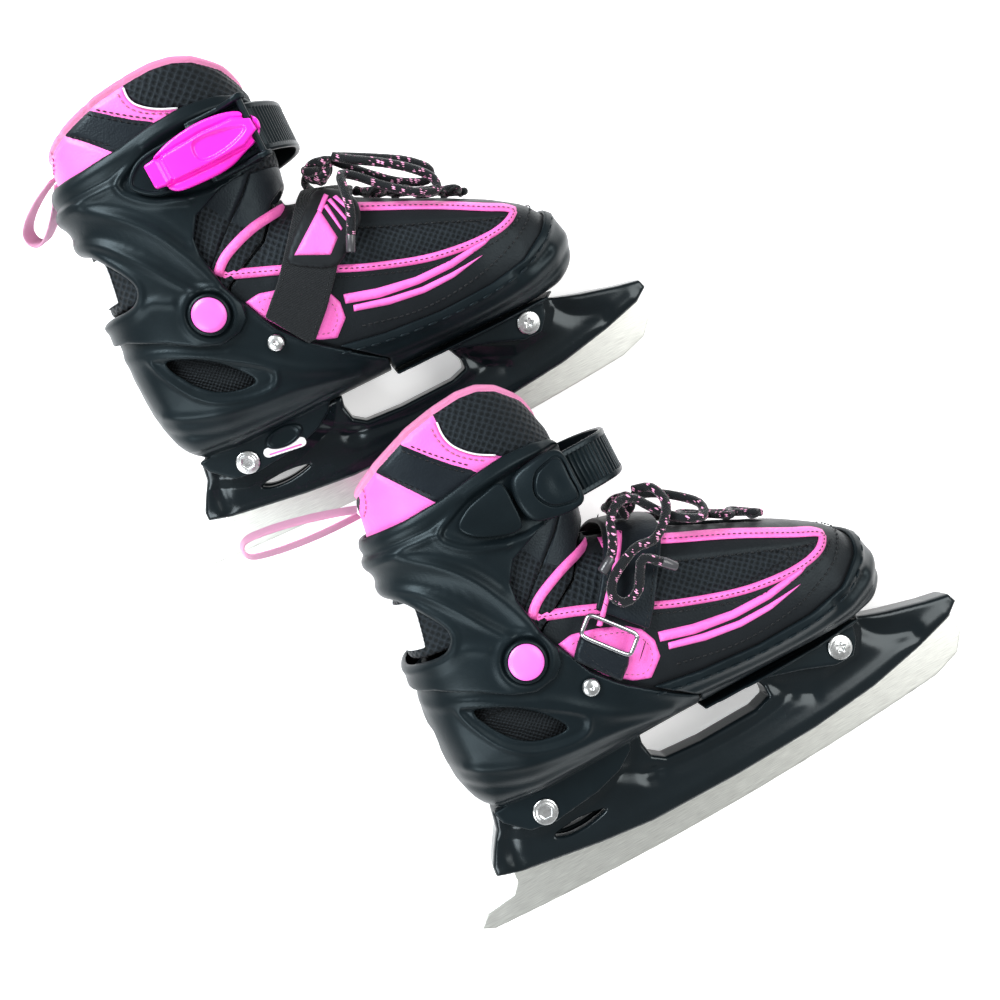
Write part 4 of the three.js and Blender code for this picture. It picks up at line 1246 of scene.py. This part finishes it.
def make_collar(side):
    rise = COLLAR_RISE[side]
    edge, mesh, smooth, tab = (slumped(p, rise) for p in (COLLAR, COLLAR_MESH, COLLAR_SMOOTH, COLLAR_TAB))
    navy = np.array(COLLAR_NAVY, float)
    g = Grid((-55, 14, -42), (72, 125, 42))
    rim, mesh_view = g.view(edge), g.view(mesh)
    bound = np.where(g.y > BOUND_FROM, -(rim + BINDING_WIDTH), -40)
    seams = np.minimum(np.minimum(np.abs(mesh_view), np.abs(g.view(smooth))), np.abs(bound))
    groove = 0.9 * np.exp(-((seams / 1.2) ** 2))
    puff = 1.0 * np.clip(-mesh_view / 8, 0, 1)
    padding = np.where(g.y > PLAIN_BELOW, puff - groove, 0)
    leg = leg_field(g)
    field = smooth_max(leg + 1.2 - padding, -(leg + 7.3), 3.0)
    shape = level_mesh(smooth_max(field, rim, 3.0), g)

    x, y, z = np.array([shape.verts[list(f)].mean(0) for f in shape.faces]).T
    back, front, half = leg_sections(y)
    across = np.abs((x - (front + back) / 2) / ((front - back) / 2)) ** SQUARENESS
    depth = (across + np.abs(z / half) ** SQUARENESS) ** (1 / SQUARENESS)
    pink, dark, knit, binding, lining = range(5)  # places in the list of finishes
    zone = np.full(len(x), pink)
    zone[outline(smooth, x, y) < 0] = dark
    zone[outline(mesh, x, y) < 0] = knit
    zone[outline(tab, x, y) < 0] = knit
    zone[y < PLAIN_BELOW] = knit
    zone[outline(navy, x, y) < 0] = dark
    zone[(outline(edge, x, y) > -BINDING_WIDTH) & (y > BOUND_FROM)] = binding
    zone[(depth < 1 - 4.6 / half) & (zone != binding)] = lining
    shape.finishes = zone
    crisp(shape, [smooth, mesh, tab, navy], g.step, edge, BINDING_WIDTH)
    finishes = ["pink", "navy", "mesh", "binding", "lining"]
    pieces = add(
        "liner_collar", shape, finishes, "cuff", ["liner_collar"], (side,), wrap="leg"
    )


def make_collar_trim(side):
    rise = COLLAR_RISE[side]
    light = [(13.9, 112), (13.5, 106), (14.7, 100.7), (17.9, 95.9), (23, 91.2), (30.8, 86.7)]
    line = both(lambda sign: tube(draped(slumped(light, rise), -0.7, leg_height, sign), 0.45, 8))
    add("collar_light_line", line, "label", "cuff", sides=(side,))
    seams = [
        ([(-1.6, 108), (5, 100.6), (12.4, 93.2), (19.4, 86.8)], "thread", -1.3),
        ([(-6.2, 108), (2.6, 98.2), (9.8, 90.6), (16, 85.4)], "thread", -0.9),
        ([(-3.4, 84), (-10.8, 93), (-19.6, 103)], "thread", -0.9),
        ([(10.4, 111), (10.6, 105), (12, 99.6), (15.2, 94.6), (20.4, 90), (27, 85.8)], "pink_thread", -0.9),
        ([(-29.6, 101), (-30, 98), (-32.4, 92), (-36, 88)], "pink_thread", -0.9),
    ]
    for index, (path, thread, out) in enumerate(seams):
        path = slumped(path, rise)
        rows = both(lambda sign: stitches(path, out, leg_height, sign, 2.8, 1.9, 0.34))
        add(f"collar_stitches_{index}", rows, thread, "cuff", sides=(side,))


# ---------------------------------------------------------------- cuff
CUFF = [
    (-60, 80), (-36, 80), (-20, 79.5), (0, 80.8), (16, 83.6), (32, 85.2), (48, 84.5), (58, 82),
    (63, 77), (60, 62), (56, 53), (49, 50), (32, 48), (16, 41.5), (10, 33), (9.3, 25), (12, 9),
    (16, -2), (14.5, -9), (9, -13.5), (-2, -15), (-12, -11), (-24.4, -3.3), (-42, 4.5), (-60, 7.5),
]
REAR_OPENING = [(-70, 50), (-42, 49), (-31, 38), (-24.6, 25), (-29, 19), (-43, 18), (-70, 20)]
RECESS = [
    (-7.2, 66.3), (0, 70.4), (10, 74.4), (27, 76.8), (46, 77), (66, 76), (66, 52),
    (56.8, 50), (33, 49.6), (17.4, 51.4), (3.8, 55.6), (-4.2, 61.6),
]


def make_cuff():
    g = Grid((-60, -18, -44), (68, 88, 44))
    leg = leg_field(g)
    relief = g.ridges(
        ([(-50, 66.5), (-33, 67), (-21.8, 60.2), (-8.5, 48), (-1, 37.5), (6, 22), (10, 10)], 3.0, 1.6),
        ([(-50, 70), (-33, 68.6), (-20, 68), (-7, 66.6), (2, 58), (16, 49)], 2.2, 1.0),
        ([(-50, 57), (-30.5, 48.6), (-19, 36.5), (-8.5, 22), (-1, 12)], 2.4, 1.2),
        ([(-50, 15), (-34, 13.5), (-22, 16), (-13, 12)], 2.6, 0.7),
        ([(-50, 61.5), (-32, 57), (-20, 47), (-10, 34), (0, 14)], 4.4, -0.8),
        ([(-26, 64.5), (-12, 58), (0, 45), (6, 34)], 3.6, -0.7),
        ([(-50, 76.6), (-20, 76), (0, 77.2), (16, 80), (32, 81.6), (50, 81)], 2.8, 0.9),
        ([(-50, 72.6), (-26, 71.4), (-8, 71.6), (8, 76)], 1.4, -0.6),
    )
    recess = g.view(curve(RECESS, steps=4))
    relief = relief - 1.5 * np.clip(0.5 - recess / 1.6, 0, 1) + 0.9 * np.exp(-(((recess - 2.4) / 1.7) ** 2))
    eye = np.hypot(g.x, g.y)
    relief = relief + 0.8 * np.exp(-(((eye - 12.4) / 1.9) ** 2)) - 0.7 * np.clip((11 - eye) / 1.5, 0, 1)
    window = g.view(curve(REAR_OPENING))
    relief = relief + 0.8 * np.exp(-(((window - 2.2) / 1.6) ** 2))
    field = smooth_max(leg - 2.9 - np.clip(relief, -1.1, 1.9), -(leg - 0.5), 0.8)
    field = smooth_max(field, g.view(CUFF), 1.3)
    field = smooth_max(field, -window, 1.4)
    add("cuff", level_mesh(field, g), "shell", "cuff", ["cuff"])


PIVOT = (0, 0)
SIDE_RIVET = (20.9, -24.8)


def make_caps_and_rivets():
    turn = np.linspace(0.1, math.pi / 2, 8)
    crown = [(7.0 * math.cos(a), 43.9 + 0.9 * math.sin(a)) for a in turn]
    crown[-1] = (0, crown[-1][1])
    dome = [(0, 34.8), (3, 34.8), (3, 41.0), (8.0, 41.0), (8.0, 43.4), (7.4, 43.9), *crown]
    rim = [(8.1, 41.0), (9.6, 41.2), (9.7, 42.8), (9.2, 43.5), (8.5, 43.6), (8.1, 43.0), (8.1, 41.0)]
    rivet = [(0, 36.4), (2, 36.4), (2, 39.2), (4.1, 39.2), (4.0, 39.8), (3.2, 40.5), (2.0, 40.8),
             (1.2, 40.9), (0.9, 40.6), (0, 40.5)]
    rows = [
        ("pivot_cap", dome, PIVOT, 64, "cap", "boot", "cap_plastic", True),
        ("cap_rim", rim, PIVOT, 64, "shell", "cuff", "shell_plastic", False),
        ("side_rivet", rivet, SIDE_RIVET, 32, "zinc", "boot", "bolt_metal", True),
    ]
    for place, sign in (("outer", 1), ("inner", -1)):
        for part, profile, (x, y), sides, finish, body, slot, stands_in in rows:
            name = f"{place}_{part}"
            shape = turned(profile, x, y, 0, sides, sign)
            add(name, shape, finish, body, [name] if stands_in else (), sharp=50)


# ---------------------------------------------------------------- buckle
BUCKLE_Y = 64.0
PIN_X, PIN_Z = 56.5, 47.8  # the lever's pin


def make_buckle_base():
    g = Grid((-6, 48, 38), (62, 80, 52), SMALL)
    v = np.abs(g.y - BUCKLE_Y)
    tail = g.view(curve([(-4, 64), (4, 72), (24, 74.5), (38, 74.5), (38, 53.5), (24, 53.5), (4, 56)]))
    plate = smooth_max(tail, np.abs(g.z - 41.1) - 1.2, 0.8)
    lip = smooth_max(np.abs(tail + 1.2) - 0.8, np.abs(g.z - 42) - 1.2, 0.6)
    bridge = smooth_max(np.maximum(np.abs(g.x - 36) - 6, v - 13.6), np.abs(g.z - 41.1) - 1.2, 0.8)
    arm = [(32, 39.9), (58, 39.9), (60, 47.8), (58, 50.6), (53.5, 50.2), (46, 44.6), (32, 42.3)]
    arms = smooth_max(outline(arm, g.x, g.z), np.abs(v - 12.6) - 1.1, 0.9)
    from_pin = np.hypot(g.x - PIN_X, g.z - PIN_Z)
    pin = smooth_max(from_pin - 1.5, v - 13, 0.3)
    boss = smooth_max(from_pin - 2.8, np.abs(v - 13.2) - 0.9, 0.5)
    field = smooth_min(smooth_min(plate, bridge, 1), smooth_min(arms, boss, 0.5), 0.8)
    field = np.minimum(smooth_min(field, lip, 0.6), pin)
    add("buckle_base", level_mesh(field, g), "buckle", "cuff", ["buckle_base"])


def make_lever():
    """A long tongue with a squared rear tab, between two lower wings, ending in a raised horseshoe rim."""
    g = Grid((5, 50.4, 42.4), (62, 77.6, 53), SMALL)
    x, y, z = g.x, g.y, g.z
    wings = g.view(curve([
        (10.5, 68.4), (16, 71.4), (26, 73.8), (40, 74.6), (54, 71.6), (60.4, 65), (58, 59.4),
        (48, 55.2), (40, 52.6), (26, 52), (14, 53.4), (11, 57),
    ]))
    tongue = g.view([
        (7.6, 58.2), (7.6, 67.2), (16, 68.4), (36, 69.8), (50, 69.6), (57.6, 66.6), (58, 61.6),
        (50, 57.8), (36, 57.2), (16, 57.4),
    ])
    low_top = 47.0 + 0.05 * (x - 6)
    body = smooth_max(wings, smooth_max(45 - z, z - low_top, 1.4), 1.4)
    high = smooth_max(tongue, smooth_max(45 - z, z - low_top - 2.0, 1.2), 1.2)
    inner = outline(curve([(30, 60.2), (30, 67), (44, 67.2), (53.6, 64), (44, 60)]), x, y)
    dish = 1.2 * np.clip(0.5 - inner / 1.2, 0, 1)
    tab = 0.8 * np.clip((13.5 - x) / 1.4, 0, 1)
    nick, _ = line_distance([(15.2, 57), (15.2, 69)], x, y)
    high = high + np.where(z > 46, dish - tab + 0.7 * np.exp(-((nick / 0.6) ** 2)), 0)
    gap = 0.9 * np.exp(-((np.abs(tongue - 0.7) / 0.6) ** 2))
    body = body + np.where(z > 45.6, gap, 0)
    field = smooth_min(body, high, 0.4)
    bore = np.hypot(x - PIN_X, z - PIN_Z) - 1.8 + 0 * y
    field = smooth_max(field, -bore, 0.3)
    add("buckle_lever", level_mesh(field, g), "magenta", "lever", ["buckle_lever"])


def strap_path(bulge):
    span = 41.8
    return [
        (42, span), (50, span), (56.5, span - 0.4), (bulge - 10, span - 8), (bulge - 2, 17), (bulge, 0),
        (bulge - 2, -17), (bulge - 10, -span + 8), (56.5, -span + 0.4), (50, -span), (34, -span),
    ]


def make_ratchet_strap():
    """A ribbed strap: its teeth are a sawtooth along the outside of the path."""
    step, pitch, rise = 0.4, 2.4, 1.9
    for side, bulge in (("right", 73), ("left", 86)):
        line = resampled(curve(strap_path(bulge), closed=False, steps=12), step)
        out = left_of(line)
        if out[len(out) // 2][0] < 0:
            out = -out
        phase = np.arange(len(line)) * step % pitch
        teeth = 0.35 + 0.75 * np.minimum(phase / rise, 1 - np.clip((phase - rise) / 0.5, 0, 1))
        section = [
            (-11, 0.5), (-10.2, 1.2), (-8.6, 1.2), (-8.2, teeth), (8.2, teeth), (8.6, 1.2),
            (10.2, 1.2), (11, 0.5), (11, -0.6), (10.4, -1.2), (-10.4, -1.2), (-11, -0.6),
        ]
        rows = []
        for width, lift in section:
            p = line + out * np.broadcast_to(lift, len(line))[:, None]
            rows.append(np.stack([p[:, 0], np.full(len(p), BUCKLE_Y + width), p[:, 1]], 1))
        strap = swept(rows)
        add("ratchet_strap", strap, "strap", "cuff", ["ratchet_strap"], (side,), sharp=35)


def make_receiver():
    """The strap's housing on the inner side, and the pod in front of it."""
    g = Grid((26, 48, -52), (62, 80, -37.6), SMALL)
    w = -g.z
    view = [(28.5, 64), (31, 74), (38, 77), (55, 76.8), (56.5, 64), (55, 51.2), (38, 51), (31, 54)]
    pad = [(36.6, 64), (40.6, 71.8), (46, 74), (53.6, 74.4), (54.2, 64), (53.6, 53.6), (46, 54), (40.6, 56.2)]
    crown = 48.6 - 0.0035 * (g.x - 48) ** 2 * 2.2 - 0.012 * (g.y - BUCKLE_Y) ** 2
    body = smooth_max(g.view(curve(view, steps=8)), smooth_max(39.9 - w, w - crown, 2.2), 1.8)
    channel = np.maximum(33 - g.x, np.maximum(np.abs(g.y - BUCKLE_Y) - 11.4, w - 43.6))
    pocket = np.maximum(g.view(curve(pad, steps=8)) - 0.1, 46.6 - w)
    field = smooth_max(smooth_max(body, -channel, 0.6), -pocket, 0.5)
    add("strap_receiver", level_mesh(field, g), "buckle", "cuff", ["strap_receiver"])

    g = Grid((-3, 48, -45), (30, 80, -36), SMALL)
    view = [(0.5, 66), (7, 71.4), (16, 74), (26, 75), (27.4, 64), (25.6, 52.8), (14, 54.6), (3.4, 60.4)]
    crown = 42.6 - 0.010 * (g.y - BUCKLE_Y) ** 2 - 0.003 * (g.x - 27) ** 2
    pod = smooth_max(g.view(curve(view)), smooth_max(38 + g.z, -g.z - crown, 1.6), 1.2)
    add("receiver_insert", level_mesh(pod, g), "buckle", "cuff")


def make_release_button():
    g = Grid((35, 51, -51.4), (56, 77, -45), SMALL)
    w = -g.z
    pad = [(37.3, 64), (41.1, 71.2), (46.2, 73.3), (53, 73.8), (53.6, 64), (53, 54.2), (46.2, 54.7),
           (41.1, 56.8)]
    crown = 49.4 - 0.012 * (g.y - BUCKLE_Y) ** 2 - 0.006 * (g.x - 47) ** 2
    dish = 0.5 * np.exp(-(((g.x - 47) / 3.6) ** 2 + ((g.y - BUCKLE_Y) / 5) ** 2))
    field = smooth_max(g.view(curve(pad, steps=8)), smooth_max(46 - w, w - crown + dish, 0.9), 0.9)
    add("release_button", level_mesh(field, g), "strap", "release", ["release_button"])


def make_size_button():
    g = Grid((-13, -78, 10.4), (13, -63, 17.4), SMALL)
    oval = (np.hypot(g.x / 10.5, (g.y + 70.6) / 5.4) - 1) * 6.5
    ring = 0.5 * np.exp(-(((oval + 1.3) / 0.7) ** 2))
    field = smooth_max(oval, smooth_max(11.2 - g.z, g.z - 15.6 - ring, 0.8), 0.8)
    add("size_button", level_mesh(field, g), "strap", "size_button", ["size_button"])


# ---------------------------------------------------------------- instep strap and loop
INSTEP_STRAP = [
    (22, -12), (36, -34), (50, -21), (62, -7.5), (73, 7), (84, 19), (92, 30), (92, 42), (72, 42),
    (60, 30), (47, 14), (35, 0),
]


def make_instep_strap():
    g = Grid((16, -32, -43), (92, 44, 43), 0.75)
    field = smooth_max(layer(boot_field(g), -2.6, 2.2), g.view(INSTEP_STRAP), 0.8)
    below = g.view([(10, -10), (33.6, 10), (56, -14), (30, -40)])
    field = smooth_max(field, -np.maximum(below, g.z), 0.8)
    shape = level_mesh(field, g)
    for side, finish in (("right", "woven"), ("left", "navy")):
        add("instep_strap", shape, finish, "toe", ["instep_strap"], sides=(side,))
    edges = [
        (1, [(25, -10.5), (38, 0), (49.5, 13.5), (62, 29), (70, 38)]),
        (1, [(38, -29.5), (50, -17.5), (60, -5.5), (71, 8), (82, 20)]),
        (-1, [(38, 1), (49.5, 13.5), (62, 29)]),
        (-1, [(53, -14), (61, -5), (71, 8), (82, 20)]),
    ]
    rows = [stitches(edge, 2.5, boot_height, face, 3.0, 2.0, 0.3) for face, edge in edges]
    add("instep_stitches", joined(*rows), "thread", "toe")


def make_strap_badge():
    """Right skate: a rubber tab with a kite-shaped inset and three slashes, all plain shapes."""
    tab = np.array([(43, 6), (48, 12.6), (60.6, 23.3), (70.5, 30.6), (80, 27.6), (85.6, 19.6),
                    (83.7, 9.9), (76.9, 3.3), (68.9, -2.6), (62.7, -5.4), (47, 2)], float)
    kite = np.array([(47.6, 7.4), (62.9, 0.4), (69.5, 6.0), (67.7, 21.6)], float)
    add("strap_badge", patch(curve(tab), 2.5, 1.4), "rubber", "toe", sides=("right",))
    add("strap_badge_kite", patch(kite, 3.9, 0.7), "pink", "toe", sides=("right",))
    stem = np.array([(66.8, 21.4), (73.4, 27.2), (75, 25.4), (68, 19.4)], float)
    slashes = [patch(stem, 3.9, 0.6, edge=0.5, step=0.8)]
    for start, end in (((71.2, 21.9), (72.9, 8.4)), ((74.2, 23.7), (77.0, 11.4)), ((77.2, 24), (80.6, 14.3))):
        start, end = np.array(start), np.array(end)
        across = np.array((1.0, 0.2))
        slash = [start - across, end - 0.6 * across, end + 0.6 * across, start + across]
        slashes.append(patch(np.array(slash), 3.9, 0.6, edge=0.5, step=0.8))
    add("strap_badge_slashes", joined(*slashes), "pink", "toe", sides=("right",))
    path = [(36.6, -2.3), (47.7, 8.7), (58.3, 18.9), (68, 28.5)]
    line = resampled(curve(path, closed=False), 1.5)
    border = np.vstack([line + (-0.9, 0.8), (line + (0.9, -0.8))[::-1]])
    add("strap_stripe", patch(border, 2.5, 0.6, side=-1), "piping", "toe", sides=("left",))


def make_strap_ring():
    """A wire rectangle with rounded corners on the inner side, and the leather tab it hangs from."""
    t = np.linspace(0, 2 * math.pi, 72, endpoint=False)
    u, v = (half * np.sign(w) * np.abs(w) ** 0.28 for half, w in ((12.2, np.cos(t)), (5.2, np.sin(t))))
    ring = spun(np.stack([u, v, np.full(len(t), -41.6)], 1), -50, 0, 1) + (38.6, -7.4, 0)
    add("strap_ring", tube(ring, 1.05, 12, closed=True), "wire", "toe", ["strap_ring"])
    tab = [(27.5, -2.4), (43.5, -20), (40.5, -24.5), (34.5, -29.5), (19.5, -10.5), (23.5, -6)]
    leather = patch(np.array(tab, float), 0.6, 2.0, side=-1)
    add("ring_tab", leather, "navy", "toe", ["ring_tab"])
    seam = [(25.5, -8), (33.6, -24.6), (40, -20), (30, -8.2)]
    row = stitches(seam, 2.4, boot_height, -1, 2.6, 1.7, 0.28, closed=True)
    add("ring_tab_stitches", row, "thread", "toe")


HEEL_LOOPS = [
    # skate, length, angle in the side view, droop, height of the root, flare across the width
    ("right", 40, 208, 35, 86, 0),
    ("left", 56, 171, 0, 92, 0.33),
]


def make_heel_loops():
    """Webbing folded into a teardrop loop behind the collar."""
    section = [(-4.5, 0), (-4.2, 0.55), (4.2, 0.55), (4.5, 0), (4.2, -0.55), (-4.2, -0.55)]
    for side, length, angle, drop, height, flare in HEEL_LOOPS:
        top = [(-3, 1.4), (0, 2), (length * 0.35, 4.6), (length * 0.75, 5.4), (length - 3, 3.8),
               (length - 0.8, 0)]
        line = resampled(curve(top + [(x, -y) for x, y in top[-2::-1]], closed=False), 1.0)
        rows = []
        for width, lift in section:
            p = line + left_of(line) * (lift + flare * width)
            rows.append(np.column_stack([p, np.full(len(p), width)]))
        loop = swept(rows, flip=True)
        loop.verts = spun(spun(loop.verts, drop, 2, 0), angle, 0, 1) + (-40.4, height, 0)
        add("heel_loop", loop, "webbing", "cuff", ["heel_loop"], (side,), sharp=50)


def make_labels():
    """Blank stickers: one on the back of the collar behind the cuff's opening, one oval on the sole."""
    g = Grid((-50, 20, -29), (-30, 48, 29), 0.5)
    trim = np.maximum(np.abs(g.y - 34) - 11, np.abs(g.z) - 26)
    slab = smooth_max(layer(leg_field(g), 0.1, 1.1), smooth_max(trim, g.x + 33, 0.8), 0.6)
    add("heel_label", level_mesh(slab, g), "label", "cuff")
    g = Grid((-17, -81, 14.2), (13, -69, 15.4), 0.35)
    run, _ = line_distance([(-11, -74.6), (6.5, -77.2)], g.x, g.y)
    pill = smooth_max(run - 2.7, np.abs(g.z - 14.8) - 0.22, 0.2)
    add("size_sticker", level_mesh(pill, g), "label", "boot")
    stripe = tube([(-11, -75.8, 14.9), (6.2, -78.4, 14.9)], 0.5, 8)
    add("size_sticker_stripe", stripe, "pink", "boot")


# ---------------------------------------------------------------- floor, light
def set_inputs(node, **values):
    for name, value in values.items():
        node.inputs[name.replace("_", " ")].default_value = value


def place_in_scene(name, data):
    piece = bpy.data.objects.new(name, data)
    bpy.context.scene.collection.objects.link(piece)
    return piece


def make_studio():
    floor = bpy.data.meshes.new("floor")
    r, level = 3.0, -0.0005
    corners = [(-r, -r, level), (r, -r, level), (r, r, level), (-r, r, level)]
    floor.from_pydata(corners, [], [(0, 1, 2, 3)])
    paper = bpy.data.materials.new("paper")
    paper.use_nodes = True
    shader = paper.node_tree.nodes["Principled BSDF"]
    set_inputs(shader, Base_Color=(0.93, 0.93, 0.93, 1), Roughness=0.9)
    set_inputs(shader, Emission_Color=(1, 1, 1, 1), Emission_Strength=0.4)
    floor.materials.append(paper)
    place_in_scene("floor", floor)
    lights = [
        # name, place, size, power, colour
        ("window", (-0.55, 0.7, 1.0), (0.7, 0.5), 26, (0.93, 0.97, 1.0)),
        ("fill", (0.9, -0.3, 1.1), (0.8, 0.8), 14, (1.0, 0.99, 0.97)),
        ("low", (-0.9, -0.6, 0.8), (0.6, 0.5), 10, (0.95, 0.98, 1.0)),
    ]
    for name, place, (width, height), power, color in lights:
        data = bpy.data.lights.new(name, "AREA")
        data.shape = "RECTANGLE"
        data.size, data.size_y = width, height
        data.energy = power
        data.color = color
        lamp = place_in_scene(name, data)
        lamp.location = place
        lamp.rotation_euler = (-Vector(place)).to_track_quat("-Z", "Y").to_euler()
    world = bpy.data.worlds.new("studio")
    world.use_nodes = True
    set_inputs(world.node_tree.nodes["Background"], Color=(1, 1, 1, 1), Strength=0.36)
    bpy.context.scene.world = world
    bpy.context.scene.view_settings.view_transform = "Standard"


make_free_laces()
make_lace_rows_and_knots()
make_blade()
make_holder()
make_bolts()
make_heel_shell()
make_sole_plate()
make_toe_shell()
make_upper()
make_upper_trim()
make_tongue()
make_liner()
make_ankle_gusset()
for skate in SIDES:
    make_collar(skate)
    make_collar_trim(skate)
make_cuff()
make_caps_and_rivets()
make_buckle_base()
make_lever()
make_ratchet_strap()
make_receiver()
make_release_button()
make_size_button()
make_instep_strap()
make_strap_badge()
make_strap_ring()
make_heel_loops()
make_labels()
make_studio()
